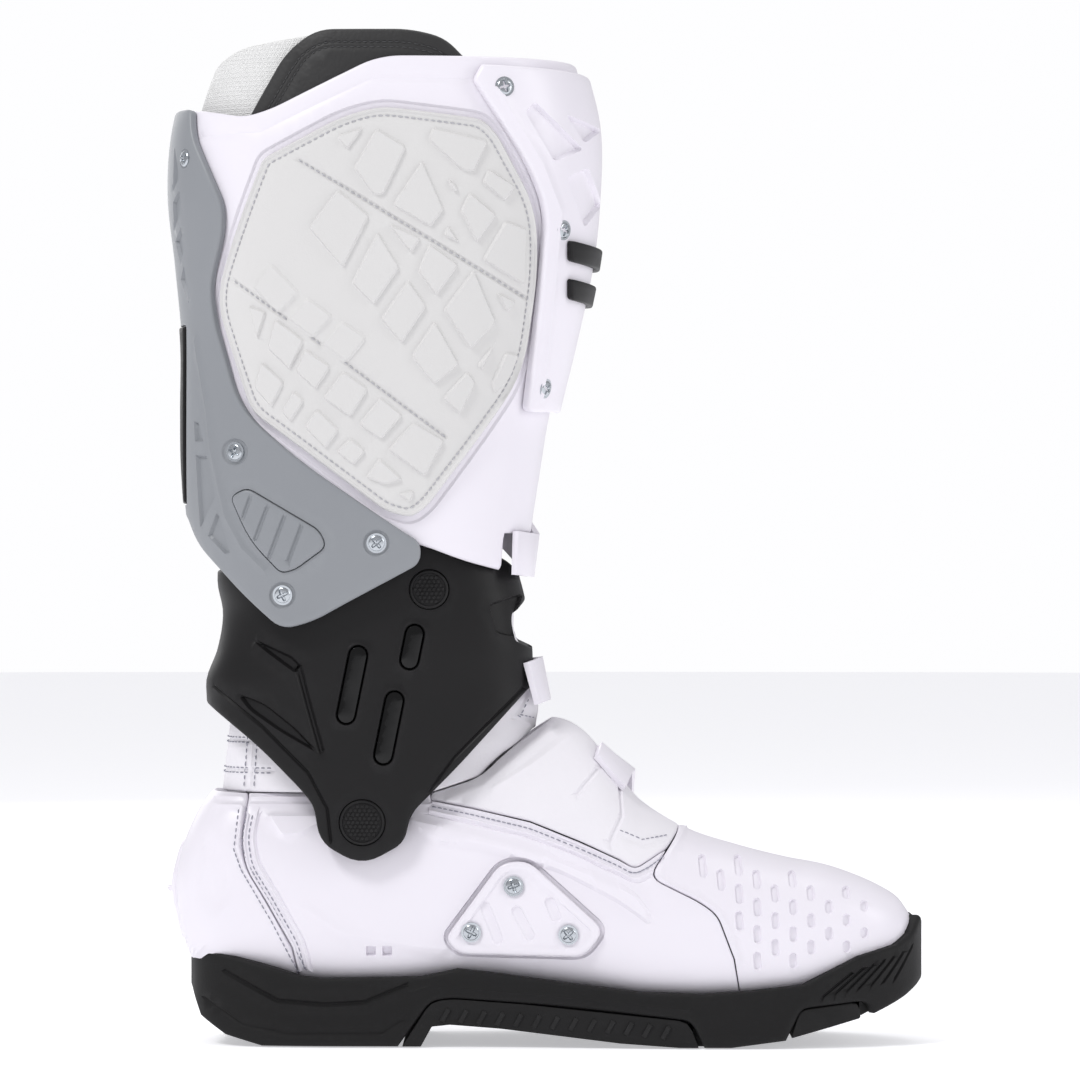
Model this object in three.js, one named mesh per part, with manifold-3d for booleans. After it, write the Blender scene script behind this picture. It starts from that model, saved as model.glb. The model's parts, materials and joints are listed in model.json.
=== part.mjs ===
// Off-road riding boot for the left foot, built as an assembly of separate named pieces.
// Units are millimetres. +X points to the toe, +Y to the outer (buckle) side, +Z up.
// The origin lies on the ground, under the ankle hinge and on the boot's mid-plane.
import * as THREE from "three";
import { mergeVertices } from "three/addons/utils/BufferGeometryUtils.js";
import Module from "manifold-3d";

const wasm = await Module();
wasm.setup();

// Driving dimensions.
const fitGap = 0.4; // between pieces that touch
const slideGap = 0.8; // between pieces that move past each other
const shellWall = 3.0; // moulded calf and foot shells
const platePanelWall = 3.0; // screwed-on plates
const braceWall = 3.4;
const linerWall = 3.6;
const linkWall = 2.6; // hidden plates that carry the calf on the upper pivots
const ankle = { x: 0, z: 92.3 }; // lower hinge axis, along Y
const calfPivot = { x: 27.5, z: 188 }; // upper hinge axis, along Y
const ankleCap = { radius: 9.2, proud: 1.4 };
const calfCap = { radius: 7.9, proud: 1.2 };
const pivotPin = 5; // radius
const bossRadius = 15;
const shankHalf = 14;
const shankWall = 2;
const shankDrop = 1.1; // top of the shank under the foot shell
const screw = { radius: 4.1, sunk: 0.9, proud: 1.3 };
const strapWidth = 18;
const strapWall = 2.6;
const strapOut = strapWall / 2 + fitGap + 1; // middle of a strap above what it lies on
const lever = { width: 14, wall: 3.4, length: 40 };
const forefoot = 96.7; // from the toe joint to the tip of the sole
const calfLength = 177; // from the calf's narrowest place to the top of the collar
const beyond = 120; // how far a cutting prism reaches past the boot

// The tables below are drawn at these lengths, and stretched to the two driving lengths above.
const toeJoint = 135;
const calfBase = 240;
const drawnAt = { forefoot: 96.7, calf: 177 };
const alongFoot = (x) =>
  x <= toeJoint ? x : toeJoint + ((x - toeJoint) * forefoot) / drawnAt.forefoot;
const upLeg = (z) => (z <= calfBase ? z : calfBase + ((z - calfBase) * calfLength) / drawnAt.calf);
const drawn = (points) => points.map(([x, z, ...corner]) => [alongFoot(x), upLeg(z), ...corner]);
const drawnUp = (rows) => rows.map(([z, ...values]) => [upLeg(z), ...values]);
const drawnAlong = (rows) => rows.map(([x, ...values]) => [alongFoot(x), ...values]);

const legPoints = 20; // corners round a leg section
const footPoints = 16; // corners round a foot section

// Sections of the upright parts, outer face: height, back, front, half width, squareness (2 is an
// ellipse, more is boxier).
const calfRows = drawnUp([
  [180, -63, 65, 53, 3.2],
  [211, -70, 69, 56, 3.1],
  [237, -72.5, 73, 58, 2.9],
  [261, -73, 77, 60, 2.7],
  [290, -73, 84, 62.5, 2.6],
  [323, -76, 91, 65, 2.6],
  [352, -79, 94, 66.5, 2.6],
  [380, -77, 94, 67, 2.6],
  [406, -69, 88, 66, 2.6],
]);
const braceRows = [
  [70, -66, 73, 47.6, 3.2],
  [142, -66, 73, 48.2, 3.2],
  [151, -66, 72, 48.5, 3.2],
  [163, -61.5, 71.5, 48.8, 3.2],
  [178, -59.2, 69.5, 49, 3.2],
  [191, -61.5, 66.5, 49, 3.2],
  [210, -60, 60.5, 48.5, 3.2],
];
// Leather bellows that closes the ankle inside the brace.
const bellowsRows = [
  [99, -60.5, 70, 36, 2.6],
  [118, -58.5, 72, 36.5, 2.6],
  [140, -56, 72, 37, 2.6],
  [165, -53.5, 65, 36, 2.6],
  [196, -52, 57.5, 35, 2.6],
];

// Foot shell, outer face: position, underside, top, half width, sideways shift of its middle.
const footRows = drawnAlong([
  [-79, 58, 69, 9, 0],
  [-77, 48, 78, 17, 0],
  [-73, 36, 89, 24.5, 0],
  [-67, 31, 100, 30, 0],
  [-58, 29, 109, 34.5, 0],
  [-40, 25, 113, 38, 0],
  [-15, 20, 113, 40, 0],
  [10, 20, 114, 41, 0],
  [30, 22, 118, 41, 0],
  [50, 22, 126, 41.5, 0.3],
  [66, 20.5, 132, 43, 0.8],
  [80, 18.5, 134, 44.5, 1.3],
  [92, 17, 127.5, 46, 1.8],
  [103, 15.5, 113.5, 47.5, 2.2],
  [115, 14.5, 99, 49, 2.5],
  [135, 14, 87.5, 50.5, 2.5],
  [155, 15, 81, 50, 1.5],
  [175, 17.5, 76, 47, -0.5],
  [192, 22, 72.8, 42, -2.5],
  [205, 27, 68.5, 36, -4.3],
  [215, 31.5, 64, 29, -6],
  [222, 36.5, 59.5, 21, -7],
  [226, 43, 54, 12, -7.6],
  [227.5, 46, 51, 6, -8],
]);
const footStations = [
  -79, -76, -68, -50, -20, 15, 50, 66, 80, 92, 103, 115, 135, 160, 185, 205, 219, 227.5,
].map(alongFoot);
const footCrown = 2.5; // squareness of the upper half of a section
const footBase = 4.2; // squareness of the lower half

// Sole plan: position, half width.
const solePlan = drawnAlong([
  [-72.5, 6],
  [-70, 18],
  [-65, 27],
  [-55, 34.5],
  [-40, 40],
  [-15, 43],
  [30, 44],
  [66, 46],
  [92, 49],
  [115, 52],
  [135, 53.8],
  [155, 53.3],
  [175, 50.4],
  [192, 45.6],
  [205, 39.8],
  [215, 33.3],
  [223, 25],
  [229, 14],
  [231.7, 5],
]);

// Side-view outlines, as [x, z] or [x, z, corner radius].
const soleTopLine = drawn([
  [-73, 39.5], [-54, 36.5], [-36, 32], [-25, 28.7], [-17, 28], [24, 28.7], [39, 32], [57, 30],
  [81, 26.7], [114, 22.6], [139, 22.1], [159, 23.4], [180, 25.8], [192, 32], [202, 37.3],
  [216.5, 41.4], [223, 45.5], [228.5, 52.5], [232, 50],
]);
const soleBottomLine = drawn([
  [232, 27], [220.6, 20], [204, 11.5], [172.6, 2.9], [151, 0], [130, 0], [106, 1.6], [81, 4.5],
  [57, 7.4], [36, 9], [28.5, 8.2], [24, 0], [-42, 0], [-57.4, 4.1], [-68, 11], [-74, 26],
]);
const archInsertOutline = drawn([
  [13, -5], [28, 18.2, 5], [36, 19.6, 5], [81, 16.5, 20], [134, 10.7, 4], [140, -5],
]);
const toeInsertOutline = drawn([[173.5, -5], [179.5, 15.5, 3], [204, 18.4, 3], [207, -5]]);
const heelSeam = [
  [-47.5, 140], [-48, 101.7], [-50.8, 85.3, 20], [-48.8, 73, 20], [-41, 60.7, 20], [-29.5, 40.2],
  [-23, 10],
];
const toeSeam = drawn([
  [141, 120], [131.6, 89.4, 6], [118, 70, 6], [138.6, 60, 20], [146, 54.5, 12], [153, 36.1],
  [158, 5],
]);
const instepSeam = drawn([
  [27.9, 101.5], [44.3, 98.4], [68.9, 92.7], [89.4, 84.5], [105.8, 77.1], [111.9, 73.4, 6],
  [118, 77.1], [130.4, 84.5, 4], [133, 100],
]);
const collarLine = [
  [-100, 104], [27.9, 104, 10], [48.4, 110.7, 20], [57.8, 120, 10], [68.9, 128.3, 20], [79.5, 133.5],
];
const braceOutline = [
  [-75, 196], [-57.8, 196], [-50, 199, 8], [0, 201, 8], [24, 210, 8], [44, 206], [60, 200, 4],
  [67.5, 190, 3], [67.8, 183.7, 2], [63, 178, 2], [63, 167, 2], [72, 163.2, 2], [75, 159],
  [74, 150.9, 3], [68.9, 146.8, 5], [56.6, 133.7, 10], [40.2, 116, 10], [27.9, 103.7, 15],
  [19.7, 95.5, 6], [17.5, 84, 17.5], [0, 74.3, 10], [-17.5, 84, 17.5], [-20, 99.2, 10],
  [-25.4, 105.8, 10], [-42.6, 123, 15], [-59.5, 136.1, 10], [-75, 147],
];
const calfTop = drawn([
  [-71.3, 386], [-48, 381, 15], [-36, 384.5, 15], [3, 404, 15], [12, 406, 10], [120, 406],
]);
const calfBottom = [
  [120, 211], [57.5, 211, 2], [57.5, 195.5, 3], [42, 199.5, 10], [20, 208, 10], [-40, 206],
];
const calfPlateOutline = drawn([
  [-95, 387], [-71.3, 386, 2], [-70.5, 374, 15], [-57, 345, 12], [-57.5, 333, 12], [-63, 313, 25],
  [-61.5, 298.5, 20], [-50, 261.6, 12], [-25.4, 240.3, 40], [15.6, 212.4, 20], [24.5, 207, 5],
  [24, 198.5, 6], [-20, 175, 12], [-33, 171.5, 10], [-48, 184.5, 12], [-68.5, 206.2, 10],
  [-74, 219, 4], [-95, 222],
]);
const platePadOutline = drawn([
  [-54, 226, 3], [-47, 230, 4], [-17, 212.4, 8], [-14, 205.5, 4], [-27, 196, 5], [-33, 194.5, 5],
  [-46, 208, 10],
]);
const gripOutline = drawn([
  [-39.5, 364, 3], [-8, 380.5, 18], [8, 385, 12], [49, 380, 5], [55, 374, 8], [70.5, 344, 20],
  [71, 318, 15], [64.8, 276, 25], [46, 248, 20], [27, 222.5, 4], [20.5, 217.5, 6], [10, 220, 10],
  [-44.5, 261, 6], [-50, 278, 20], [-58.8, 308, 12], [-50, 337, 40],
]);
const shinOutline = drawn([
  [52.5, 410], [46.3, 396, 2], [68.9, 362, 30], [77, 343, 15], [73, 298.5, 40], [69.5, 270, 30],
  [68.5, 260.5, 3], [110, 262], [110, 410],
]);
const emblemOutline = drawn([
  [76, 302, 2], [82, 318, 2], [76, 334, 2], [110, 334], [104, 318, 2], [110, 302],
]);
const spineOutline = drawn([[-95, 297], [-73.5, 297, 1], [-73.5, 223, 1], [-95, 223]]);
const collarTop = calfBase + drawnAt.calf; // before it is stretched
const cuffOutline = drawn([
  [-69.3, 372], [-69.3, 385.4], [-60.3, 404.3, 6], [-50, 410.5, 6], [-20, 415], [0, 415], [0, 372],
]);
const collarOutline = drawn([
  [-45.1, 372, 2], [-45.1, 381.3, 4], [-30, 408, 8], [-18, collarTop, 8],
  [20, collarTop, 12], [34, 413.5, 8], [43, 404], [120, 401], [120, 372],
]);
const sidePlateOutline = [
  [34, 44.5, 7], [57, 75.5, 6], [68, 76.5, 6], [99.5, 48, 5], [91.5, 37.3, 5], [39.5, 38.5, 6],
];
const outerPlateOutline = [
  [34, 42, 4], [42, 52, 5], [90, 51, 5], [99.5, 44, 4], [91.5, 37.3, 5], [39.5, 37.5, 4],
];
const braceSlots = [
  { x: -4.1, z: 148.8, length: 33, width: 8 },
  { x: 20.5, z: 164.4, length: 19, width: 8 },
  { x: 11, z: 131.2, length: 31, width: 8 },
];
const slotLean = 0.2; // how far the slots lean forward, in radians

// Screws seen on the inner side, as [x, z].
const plateScrews = drawn([[-73.4, 365.3], [-52, 244.4], [6.2, 207], [-32.4, 185.7]]);
const shinScrews = drawn([[58.6, 393.2], [82.8, 335.4], [75.4, 270.6]]);
const sidePlateScrews = [[62.3, 66], [44.7, 47.2], [84.9, 46.3]];

// ---- solids ----

// A closed geometry as a manifold-3d solid.
function solid(geometry) {
  const loose = geometry.index ? geometry.toNonIndexed() : geometry;
  const bare = new THREE.BufferGeometry().setAttribute("position", loose.getAttribute("position"));
  const merged = mergeVertices(bare, 1e-3);
  return new wasm.Manifold(
    new wasm.Mesh({
      numProp: 3,
      vertProperties: merged.attributes.position.array,
      triVerts: new Uint32Array(merged.index.array),
    }),
  );
}

function geometryOf(made) {
  const { numProp, numVert, vertProperties, triVerts } = made.getMesh();
  const position = new Float32Array(numVert * 3);
  for (let i = 0; i < numVert; i++)
    position.set(vertProperties.subarray(i * numProp, i * numProp + 3), i * 3);
  const geometry = new THREE.BufferGeometry();
  geometry.setAttribute("position", new THREE.BufferAttribute(position, 3));
  geometry.setIndex(new THREE.BufferAttribute(triVerts, 1));
  geometry.computeVertexNormals();
  return geometry;
}

// The values at s of a smooth curve through rows of [s, value, value, ...].
function sample(rows, s) {
  const found = rows.findIndex((row) => row[0] > s);
  const next = found < 0 ? rows.length - 1 : Math.max(found, 1);
  const before = rows[Math.max(next - 2, 0)];
  const start = rows[next - 1];
  const end = rows[next];
  const after = rows[Math.min(next + 1, rows.length - 1)];
  const span = end[0] - start[0];
  const u = THREE.MathUtils.clamp((s - start[0]) / span, 0, 1);
  return start.slice(1).map((value, i) => {
    const k = i + 1;
    const slopeIn = (end[k] - before[k]) / (end[0] - before[0]);
    const slopeOut = (after[k] - start[k]) / (after[0] - start[0]);
    return (
      (2 * u ** 3 - 3 * u ** 2 + 1) * value +
      (u ** 3 - 2 * u ** 2 + u) * span * slopeIn +
      (3 * u ** 2 - 2 * u ** 3) * end[k] +
      (u ** 3 - u ** 2) * span * slopeOut
    );
  });
}

const v = (x, y, z) => new THREE.Vector3(x, y, z);
const rounded = (value, square) => Math.sign(value) * Math.abs(value) ** (2 / square);

// A closed body through rings of as many points each, with flat ends.
function loft(rings) {
  const count = rings[0].length;
  const middles = [rings[0], rings.at(-1)].map((ring) =>
    ring.reduce((sum, p) => sum.add(p), new THREE.Vector3()).divideScalar(count),
  );
  const triangles = [];
  for (let i = 0; i < count; i++) {
    const j = (i + 1) % count;
    for (let k = 0; k + 1 < rings.length; k++) {
      const [a, b] = [rings[k], rings[k + 1]];
      triangles.push([a[i], a[j], b[j]], [a[i], b[j], b[i]]);
    }
    triangles.push([middles[0], rings[0][j], rings[0][i]]);
    triangles.push([middles[1], rings.at(-1)[i], rings.at(-1)[j]]);
  }
  const volume = triangles.reduce((sum, [a, b, c]) => sum + a.dot(b.clone().cross(c)), 0);
  const corners = triangles.flatMap(([a, b, c]) => (volume > 0 ? [a, b, c] : [a, c, b]));
  return solid(new THREE.BufferGeometry().setFromPoints(corners));
}

// A point on an upright body grown by some millimetres, at a height and a turn from the front.
function onLeg(rows, z, turn, grow) {
  const [back, front, half, square] = sample(rows, z);
  return new THREE.Vector3(
    (front + back) / 2 + ((front - back) / 2 + grow) * rounded(Math.cos(turn), square),
    (half + grow) * rounded(Math.sin(turn), square),
    z,
  );
}

// An upright body grown by some millimetres, reaching a little past its lowest and highest rows.
function legBody(rows, grow, past = 0) {
  const heights = rows.map((row) => row[0]);
  const levels = past
    ? [heights[0] - past, ...heights, heights.at(-1) + past]
    : heights;
  return loft(
    levels.map((z) =>
      Array.from({ length: legPoints }, (_, i) => {
        const at = THREE.MathUtils.clamp(z, heights[0], heights.at(-1));
        return onLeg(rows, at, (2 * Math.PI * i) / legPoints, grow).setZ(z);
      }),
    ),
  );
}

// Half width of an upright body at a place in the side view.
function legHalf(rows, x, z, grow = 0) {
  const [back, front, half, square] = sample(rows, z);
  const length = (front - back) / 2 + grow;
  const across = Math.min(Math.abs(x - (front + back) / 2) / length, 0.999);
  return (half + grow) * (1 - across ** square) ** (1 / square);
}

// The foot body grown by some millimetres.
function footBody(grow) {
  const endLean = 22; // over this length the growth turns from sideways to lengthwise
  const [heel, toe] = [footStations[0], footStations.at(-1)];
  return loft(
    footStations.map((x) => {
      const [low, high, half, shift] = sample(footRows, x);
      const lean = Math.max(0, 1 - (toe - x) / endLean) - Math.max(0, 1 - (x - heel) / endLean);
      const height = Math.max((high - low) / 2 + grow, 0.6);
      return Array.from({ length: footPoints }, (_, i) => {
        const turn = (2 * Math.PI * i) / footPoints;
        const square = Math.sin(turn) > 0 ? footCrown : footBase;
        return new THREE.Vector3(
          x + grow * lean,
          shift + Math.max(half + grow, 0.6) * rounded(Math.cos(turn), square),
          (high + low) / 2 + height * rounded(Math.sin(turn), square),
        );
      });
    }),
  );
}

// Half width of the foot body at a place in the side view.
function footHalf(x, z, grow = 0) {
  const [low, high, half] = sample(footRows, x);
  const up = (z - (high + low) / 2) / ((high - low) / 2 + grow);
  const square = up > 0 ? footCrown : footBase;
  return (half + grow) * (1 - Math.min(Math.abs(up), 0.999) ** square) ** (1 / square);
}

// Height of the foot's upper face at a place in the plan.
function footTop(x, y) {
  const [low, high, half, shift] = sample(footRows, x);
  const across = Math.min(Math.abs(y - shift) / half, 0.999);
  return (high + low) / 2 + ((high - low) / 2) * (1 - across ** footCrown) ** (1 / footCrown);
}

// An outline grown by some millimetres, or shrunk when that is negative.
function grown(points, amount) {
  const count = points.length;
  const area = points.reduce((sum, [x, z], i) => {
    const [nx, nz] = points[(i + 1) % count];
    return sum + x * nz - nx * z;
  }, 0);
  return points.map(([x, z, radius = 0], i) => {
    const [px, pz] = points[(i + count - 1) % count];
    const [nx, nz] = points[(i + 1) % count];
    const before = new THREE.Vector2(z - pz, px - x).normalize();
    const after = new THREE.Vector2(nz - z, x - nx).normalize();
    const middle = before.clone().add(after).normalize();
    const reach = (Math.sign(area) * amount) / Math.max(middle.dot(before), 0.4);
    return [x + middle.x * reach, z + middle.y * reach, radius];
  });
}

// A closed outline with its corners rounded where a radius is given.
function outlineShape(points) {
  const shape = new THREE.Shape();
  points.forEach(([x, z, radius = 0], i) => {
    const here = new THREE.Vector2(x, z);
    const [px, pz] = points[(i + points.length - 1) % points.length];
    const [nx, nz] = points[(i + 1) % points.length];
    const toLast = new THREE.Vector2(px, pz).sub(here);
    const toNext = new THREE.Vector2(nx, nz).sub(here);
    const reach = Math.min(radius, toLast.length() * 0.45, toNext.length() * 0.45);
    const start = here.clone().addScaledVector(toLast.normalize(), reach);
    const end = here.clone().addScaledVector(toNext.normalize(), reach);
    if (i === 0) shape.moveTo(start.x, start.y);
    else shape.lineTo(start.x, start.y);
    if (reach > 0) shape.quadraticCurveTo(x, z, end.x, end.y);
  });
  shape.closePath();
  return shape;
}

// A side-view outline as a prism from one Y to another.
function sidePrism(points, from = -beyond, to = beyond) {
  const geometry = new THREE.ExtrudeGeometry(outlineShape(points), {
    depth: to - from,
    bevelEnabled: false,
    curveSegments: 2,
  });
  geometry.rotateX(Math.PI / 2);
  geometry.translate(0, to, 0);
  return solid(geometry);
}

const innerSide = (points) => sidePrism(points, -beyond, -8);
const outerSide = (points) => sidePrism(points, 8, beyond);
const moved = (points, dx, dz) => points.map(([x, z, r]) => [x + dx, z + dz, r]);
const calfBody = (grow, past = 0) => legBody(calfRows, grow, past);
const braceBody = (grow, past = 0) => legBody(braceRows, grow, past);

// The layer of the calf surface between two offsets.
const calfLayer = (from, to) => calfBody(to, 12).subtract(calfBody(from, 14));

// A round bar from one point to another.
function bar(radius, from, to, sides = 12) {
  const along = to.clone().sub(from);
  const geometry = new THREE.CylinderGeometry(radius, radius, along.length(), sides);
  const upright = new THREE.Vector3(0, 1, 0);
  const turn = new THREE.Quaternion().setFromUnitVectors(upright, along.normalize());
  geometry.applyQuaternion(turn);
  geometry.translate((from.x + to.x) / 2, (from.y + to.y) / 2, (from.z + to.z) / 2);
  return solid(geometry);
}
const barAlongY = (radius, x, z, from, to, sides = 20) =>
  bar(radius, new THREE.Vector3(x, from, z), new THREE.Vector3(x, to, z), sides);

// A slot-shaped bar along Y, leaning forward.
function slotBar({ x, z, length, width }, grow, from, to) {
  const reach = length / 2 + grow;
  const half = width / 2 + grow;
  const corners = [[-half, -reach], [half, -reach], [half, reach], [-half, reach]];
  const turned = corners.map(([across, along]) => [
    x + across * Math.cos(slotLean) + along * Math.sin(slotLean),
    z - across * Math.sin(slotLean) + along * Math.cos(slotLean),
    half * 1.2,
  ]);
  return sidePrism(turned, from, to);
}

// A flat band that follows stations of { at, across }, with its middle line through each at.
function ribbon(stations, width, wall) {
  return loft(
    stations.map(({ at, across }, i) => {
      const last = stations[Math.max(i - 1, 0)].at;
      const next = stations[Math.min(i + 1, stations.length - 1)].at;
      const along = next.clone().sub(last).normalize();
      const side = across.clone().addScaledVector(along, -across.dot(along)).normalize();
      const out = along.clone().cross(side);
      return [[-1, -1], [1, -1], [1, 1], [-1, 1]].map(([s, o]) =>
        at.clone().addScaledVector(side, (s * width) / 2).addScaledVector(out, (o * wall) / 2),
      );
    }),
  );
}

// ---- the assembly ----

const boot = new THREE.Group();

function material(colour, roughness, metalness = 0) {
  return new THREE.MeshStandardMaterial({ color: colour, roughness, metalness });
}
const whitePlastic = material(0xf0eef2, 0.4);
const whiteLeather = material(0xe9e7e8, 0.6);
const greyPlastic = material(0x9aa0a7, 0.45);
const blackPlastic = material(0x1d1c1e, 0.45);
const blackRubber = material(0x171717, 0.8);
const blackFabric = material(0x202022, 0.9);
const whiteKnit = material(0xdcdcde, 0.95);
const padRubber = material(0xe3e1df, 0.6);
const steel = material(0xb9bcc0, 0.3, 1);
const nylon = material(0x3a3a3c, 0.7);

// Adds a piece to the boot, without the slivers that a trimming cut may have left beside it.
function add(name, made, look) {
  const bodies = made.decompose().sort((a, b) => b.volume() - a.volume());
  const mesh = new THREE.Mesh(geometryOf(bodies[0]), look);
  mesh.name = name;
  boot.add(mesh);
  return bodies[0];
}

// Sole.
const soleEdge = (grow) => {
  const middle = (x) => sample(footRows, x)[3];
  const near = solePlan.map(([x, half]) => [x, middle(x) - half - grow]);
  const far = solePlan.map(([x, half]) => [x, middle(x) + half + grow]).reverse();
  return new THREE.Shape([...near, ...far].map(([x, y]) => new THREE.Vector2(x, y)));
};
const solePlanPrism = (grow, depth = 80) => {
  const geometry = new THREE.ExtrudeGeometry(soleEdge(grow), { depth, bevelEnabled: false });
  geometry.translate(0, 0, -10);
  return solid(geometry);
};
const soleBlock = solePlanPrism(0).intersect(sidePrism([...soleTopLine, ...soleBottomLine]));
const solePocket = footBody(fitGap);
const insertInset = 0.6; // the inserts stand this far inside the sole's wall
const insertShape = (outline) =>
  soleBlock.intersect(sidePrism(outline)).intersect(solePlanPrism(-insertInset)).subtract(solePocket);
const insertRoom = (outline) => sidePrism(grown(outline, fitGap));
const shankPlaces = [-50, -25, 0, 25, 50, 80, 110];
const shankBody = (grow) => {
  const places = [shankPlaces[0] - grow, ...shankPlaces.slice(1, -1), shankPlaces.at(-1) + grow];
  const top = (x) => sample(footRows, x)[0] - shankDrop;
  const outline = [
    ...places.map((x) => [x, top(x) + 6 * grow]),
    ...places.map((x) => [x, top(x) - shankWall - grow]).reverse(),
  ];
  return sidePrism(outline, -shankHalf - grow, shankHalf + grow);
};
const sole = soleBlock
  .subtract(solePocket)
  .subtract(insertRoom(archInsertOutline))
  .subtract(insertRoom(toeInsertOutline))
  .subtract(shankBody(fitGap));
add("outsole", sole, blackRubber);
add("arch_insert", insertShape(archInsertOutline).subtract(shankBody(fitGap)), blackRubber);
add("toe_insert", insertShape(toeInsertOutline), blackRubber);

// Foot shell and the panels that share its surface.
const pinRoom = (side, extra = 0) =>
  barAlongY(pivotPin + extra, ankle.x, ankle.z, side < 0 ? -beyond : 20, side < 0 ? -20 : beyond, 16);
const footHollow = footBody(-shellWall);
const underCollar = sidePrism([...collarLine, [79.5, 160], [260, 160], [260, -20], [-100, -20]]);
const footSkin = footBody(0).subtract(footHollow).intersect(underCollar);
const heelRegion = (grow) => sidePrism(grown([...heelSeam, [-120, 10], [-120, 140]], grow));
const toeRegion = (grow) => sidePrism(grown([...toeSeam, [260, 5], [260, 120]], grow));
const instepRegion = (grow) => sidePrism(grown([...instepSeam, [150, 160], [27.9, 160]], grow));
// Outer face of the bosses that the brace turns on.
const lobePlane = legHalf(braceRows, ankle.x - bossRadius, ankle.z, -braceWall) - slideGap;
const boss = (side) =>
  barAlongY(
    bossRadius, ankle.x, ankle.z, side < 0 ? -lobePlane : 30, side < 0 ? -30 : lobePlane,
  ).subtract(footHollow);
const sidePlateGap = fitGap;
const footShell = footSkin
  .subtract(heelRegion(fitGap))
  .subtract(toeRegion(fitGap))
  .subtract(instepRegion(fitGap))
  .add(boss(-1))
  .add(boss(1))
  .subtract(pinRoom(-1, fitGap))
  .subtract(pinRoom(1, fitGap));
add("foot_shell", footShell, whitePlastic);
add("heel_cup", footSkin.intersect(heelRegion(0)), whitePlastic);
add("toe_cap", footSkin.intersect(toeRegion(0)), whitePlastic);
add("instep_panel", footSkin.intersect(instepRegion(0)).subtract(toeRegion(fitGap)), whiteLeather);

// Side plates, screwed to both sides of the foot shell.
const sidePlateWall = 2.4;
const footLayer = (from, to) => footBody(to).subtract(footBody(from));
const sidePlateLayer = footLayer(sidePlateGap, sidePlateGap + sidePlateWall);

// A screw head, and the seat for it, on the inner side of a face given by its half width.
const faceNormal = (half, x, z) => {
  const step = 1;
  const slopeX = (half(x + step, z) - half(x - step, z)) / (2 * step);
  const slopeZ = (half(x, z + step) - half(x, z - step)) / (2 * step);
  return new THREE.Vector3(-slopeX, -1, -slopeZ).normalize();
};
const screwBar = (half, [x, z], radius, from, to) => {
  const at = new THREE.Vector3(x, -half(x, z), z);
  const out = faceNormal(half, x, z);
  const [start, end] = [from, to].map((reach) => at.clone().addScaledVector(out, reach));
  return bar(radius, start, end, 12);
};
const screwHead = (half, at) => screwBar(half, at, screw.radius, -screw.sunk, screw.proud);
const screwSeats = (half, list) =>
  list
    .map((at) => screwBar(half, at, screw.radius + fitGap, -screw.sunk - 0.3, 30))
    .reduce((all, one) => all.add(one));
const sidePlateFace = (x, z) =>
  footHalf(x, z, sidePlateGap + sidePlateWall) - sample(footRows, x)[3];
add(
  "inner_side_plate",
  sidePlateLayer
    .intersect(innerSide(sidePlateOutline))
    .subtract(screwSeats(sidePlateFace, sidePlateScrews)),
  whitePlastic,
);
add("outer_side_plate", sidePlateLayer.intersect(outerSide(outerPlateOutline)), whitePlastic);
sidePlateScrews.forEach((at, i) =>
  add(`side_plate_screw_${i + 1}`, screwHead(sidePlateFace, at), steel),
);

// Inside the foot: shank, footbed and lining.
const liningCut = sidePrism(
  moved([...collarLine, [79.5, 160], [260, 160], [260, -20], [-100, -20]], 1, -8),
);
const lining = footBody(-shellWall - fitGap)
  .subtract(footBody(-shellWall - fitGap - linerWall))
  .intersect(liningCut);
const floorLine = (rise) =>
  footRows.slice(3, -4).map(([x, low]) => [x, low + shellWall + fitGap + linerWall + rise]);
const footbedWall = 4;
const footbedCut = [
  ...floorLine(fitGap + footbedWall),
  ...floorLine(fitGap).reverse(),
];
add("foot_liner", lining, blackFabric);
add(
  "footbed",
  footBody(-shellWall - linerWall - 2 * fitGap).intersect(sidePrism(footbedCut)),
  nylon,
);
add("shank", shankBody(0), steel);

// Ankle bellows: a soft tube between the foot and the calf.
const bellowsWall = 3;
const overCollar = sidePrism(moved([...collarLine, [120, 133.5], [120, 220], [-100, 220]], 0, 0.7));
add(
  "ankle_bellows",
  legBody(bellowsRows, 0)
    .subtract(legBody(bellowsRows, -bellowsWall, 5))
    .intersect(overCollar)
    .subtract(barAlongY(bossRadius + slideGap, ankle.x, ankle.z, -beyond, beyond)),
  whiteLeather,
);

// Ankle brace, turning on two pins through the foot shell's bosses.
const braceOpening = { half: 21, from: 20 }; // the front is open between the two arms
const frontOpening = (half, from) => {
  const box = new THREE.BoxGeometry(200, 2 * half, 260);
  box.translate(from + 100, 0, 130);
  return solid(box);
};
const slotCuts = (side, grow) =>
  braceSlots
    .map((slot) => slotBar(slot, grow, side < 0 ? -beyond : 30, side < 0 ? -30 : beyond))
    .reduce((all, one) => all.add(one));
const capSeat = (place, cap, side) => {
  const face = legHalf(braceRows, place.x, place.z);
  const inner = face - 1.2;
  return barAlongY(
    cap.radius + fitGap, place.x, place.z,
    side < 0 ? -beyond : inner, side < 0 ? -inner : beyond,
  );
};
const pivotHole = (place, side) =>
  barAlongY(pivotPin + fitGap, place.x, place.z, side < 0 ? -beyond : 30, side < 0 ? -30 : beyond, 16);
let brace = braceBody(0)
  .subtract(braceBody(-braceWall, 5))
  .intersect(sidePrism(braceOutline))
  .subtract(frontOpening(braceOpening.half, braceOpening.from));
brace = brace.subtract(slotCuts(-1, 0));
for (const side of [-1, 1]) {
  brace = brace
    .subtract(capSeat(ankle, ankleCap, side))
    .subtract(capSeat(calfPivot, calfCap, side))
    .subtract(pivotHole(ankle, side))
    .subtract(pivotHole(calfPivot, side));
}
add("ankle_brace", brace, blackPlastic);

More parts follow.
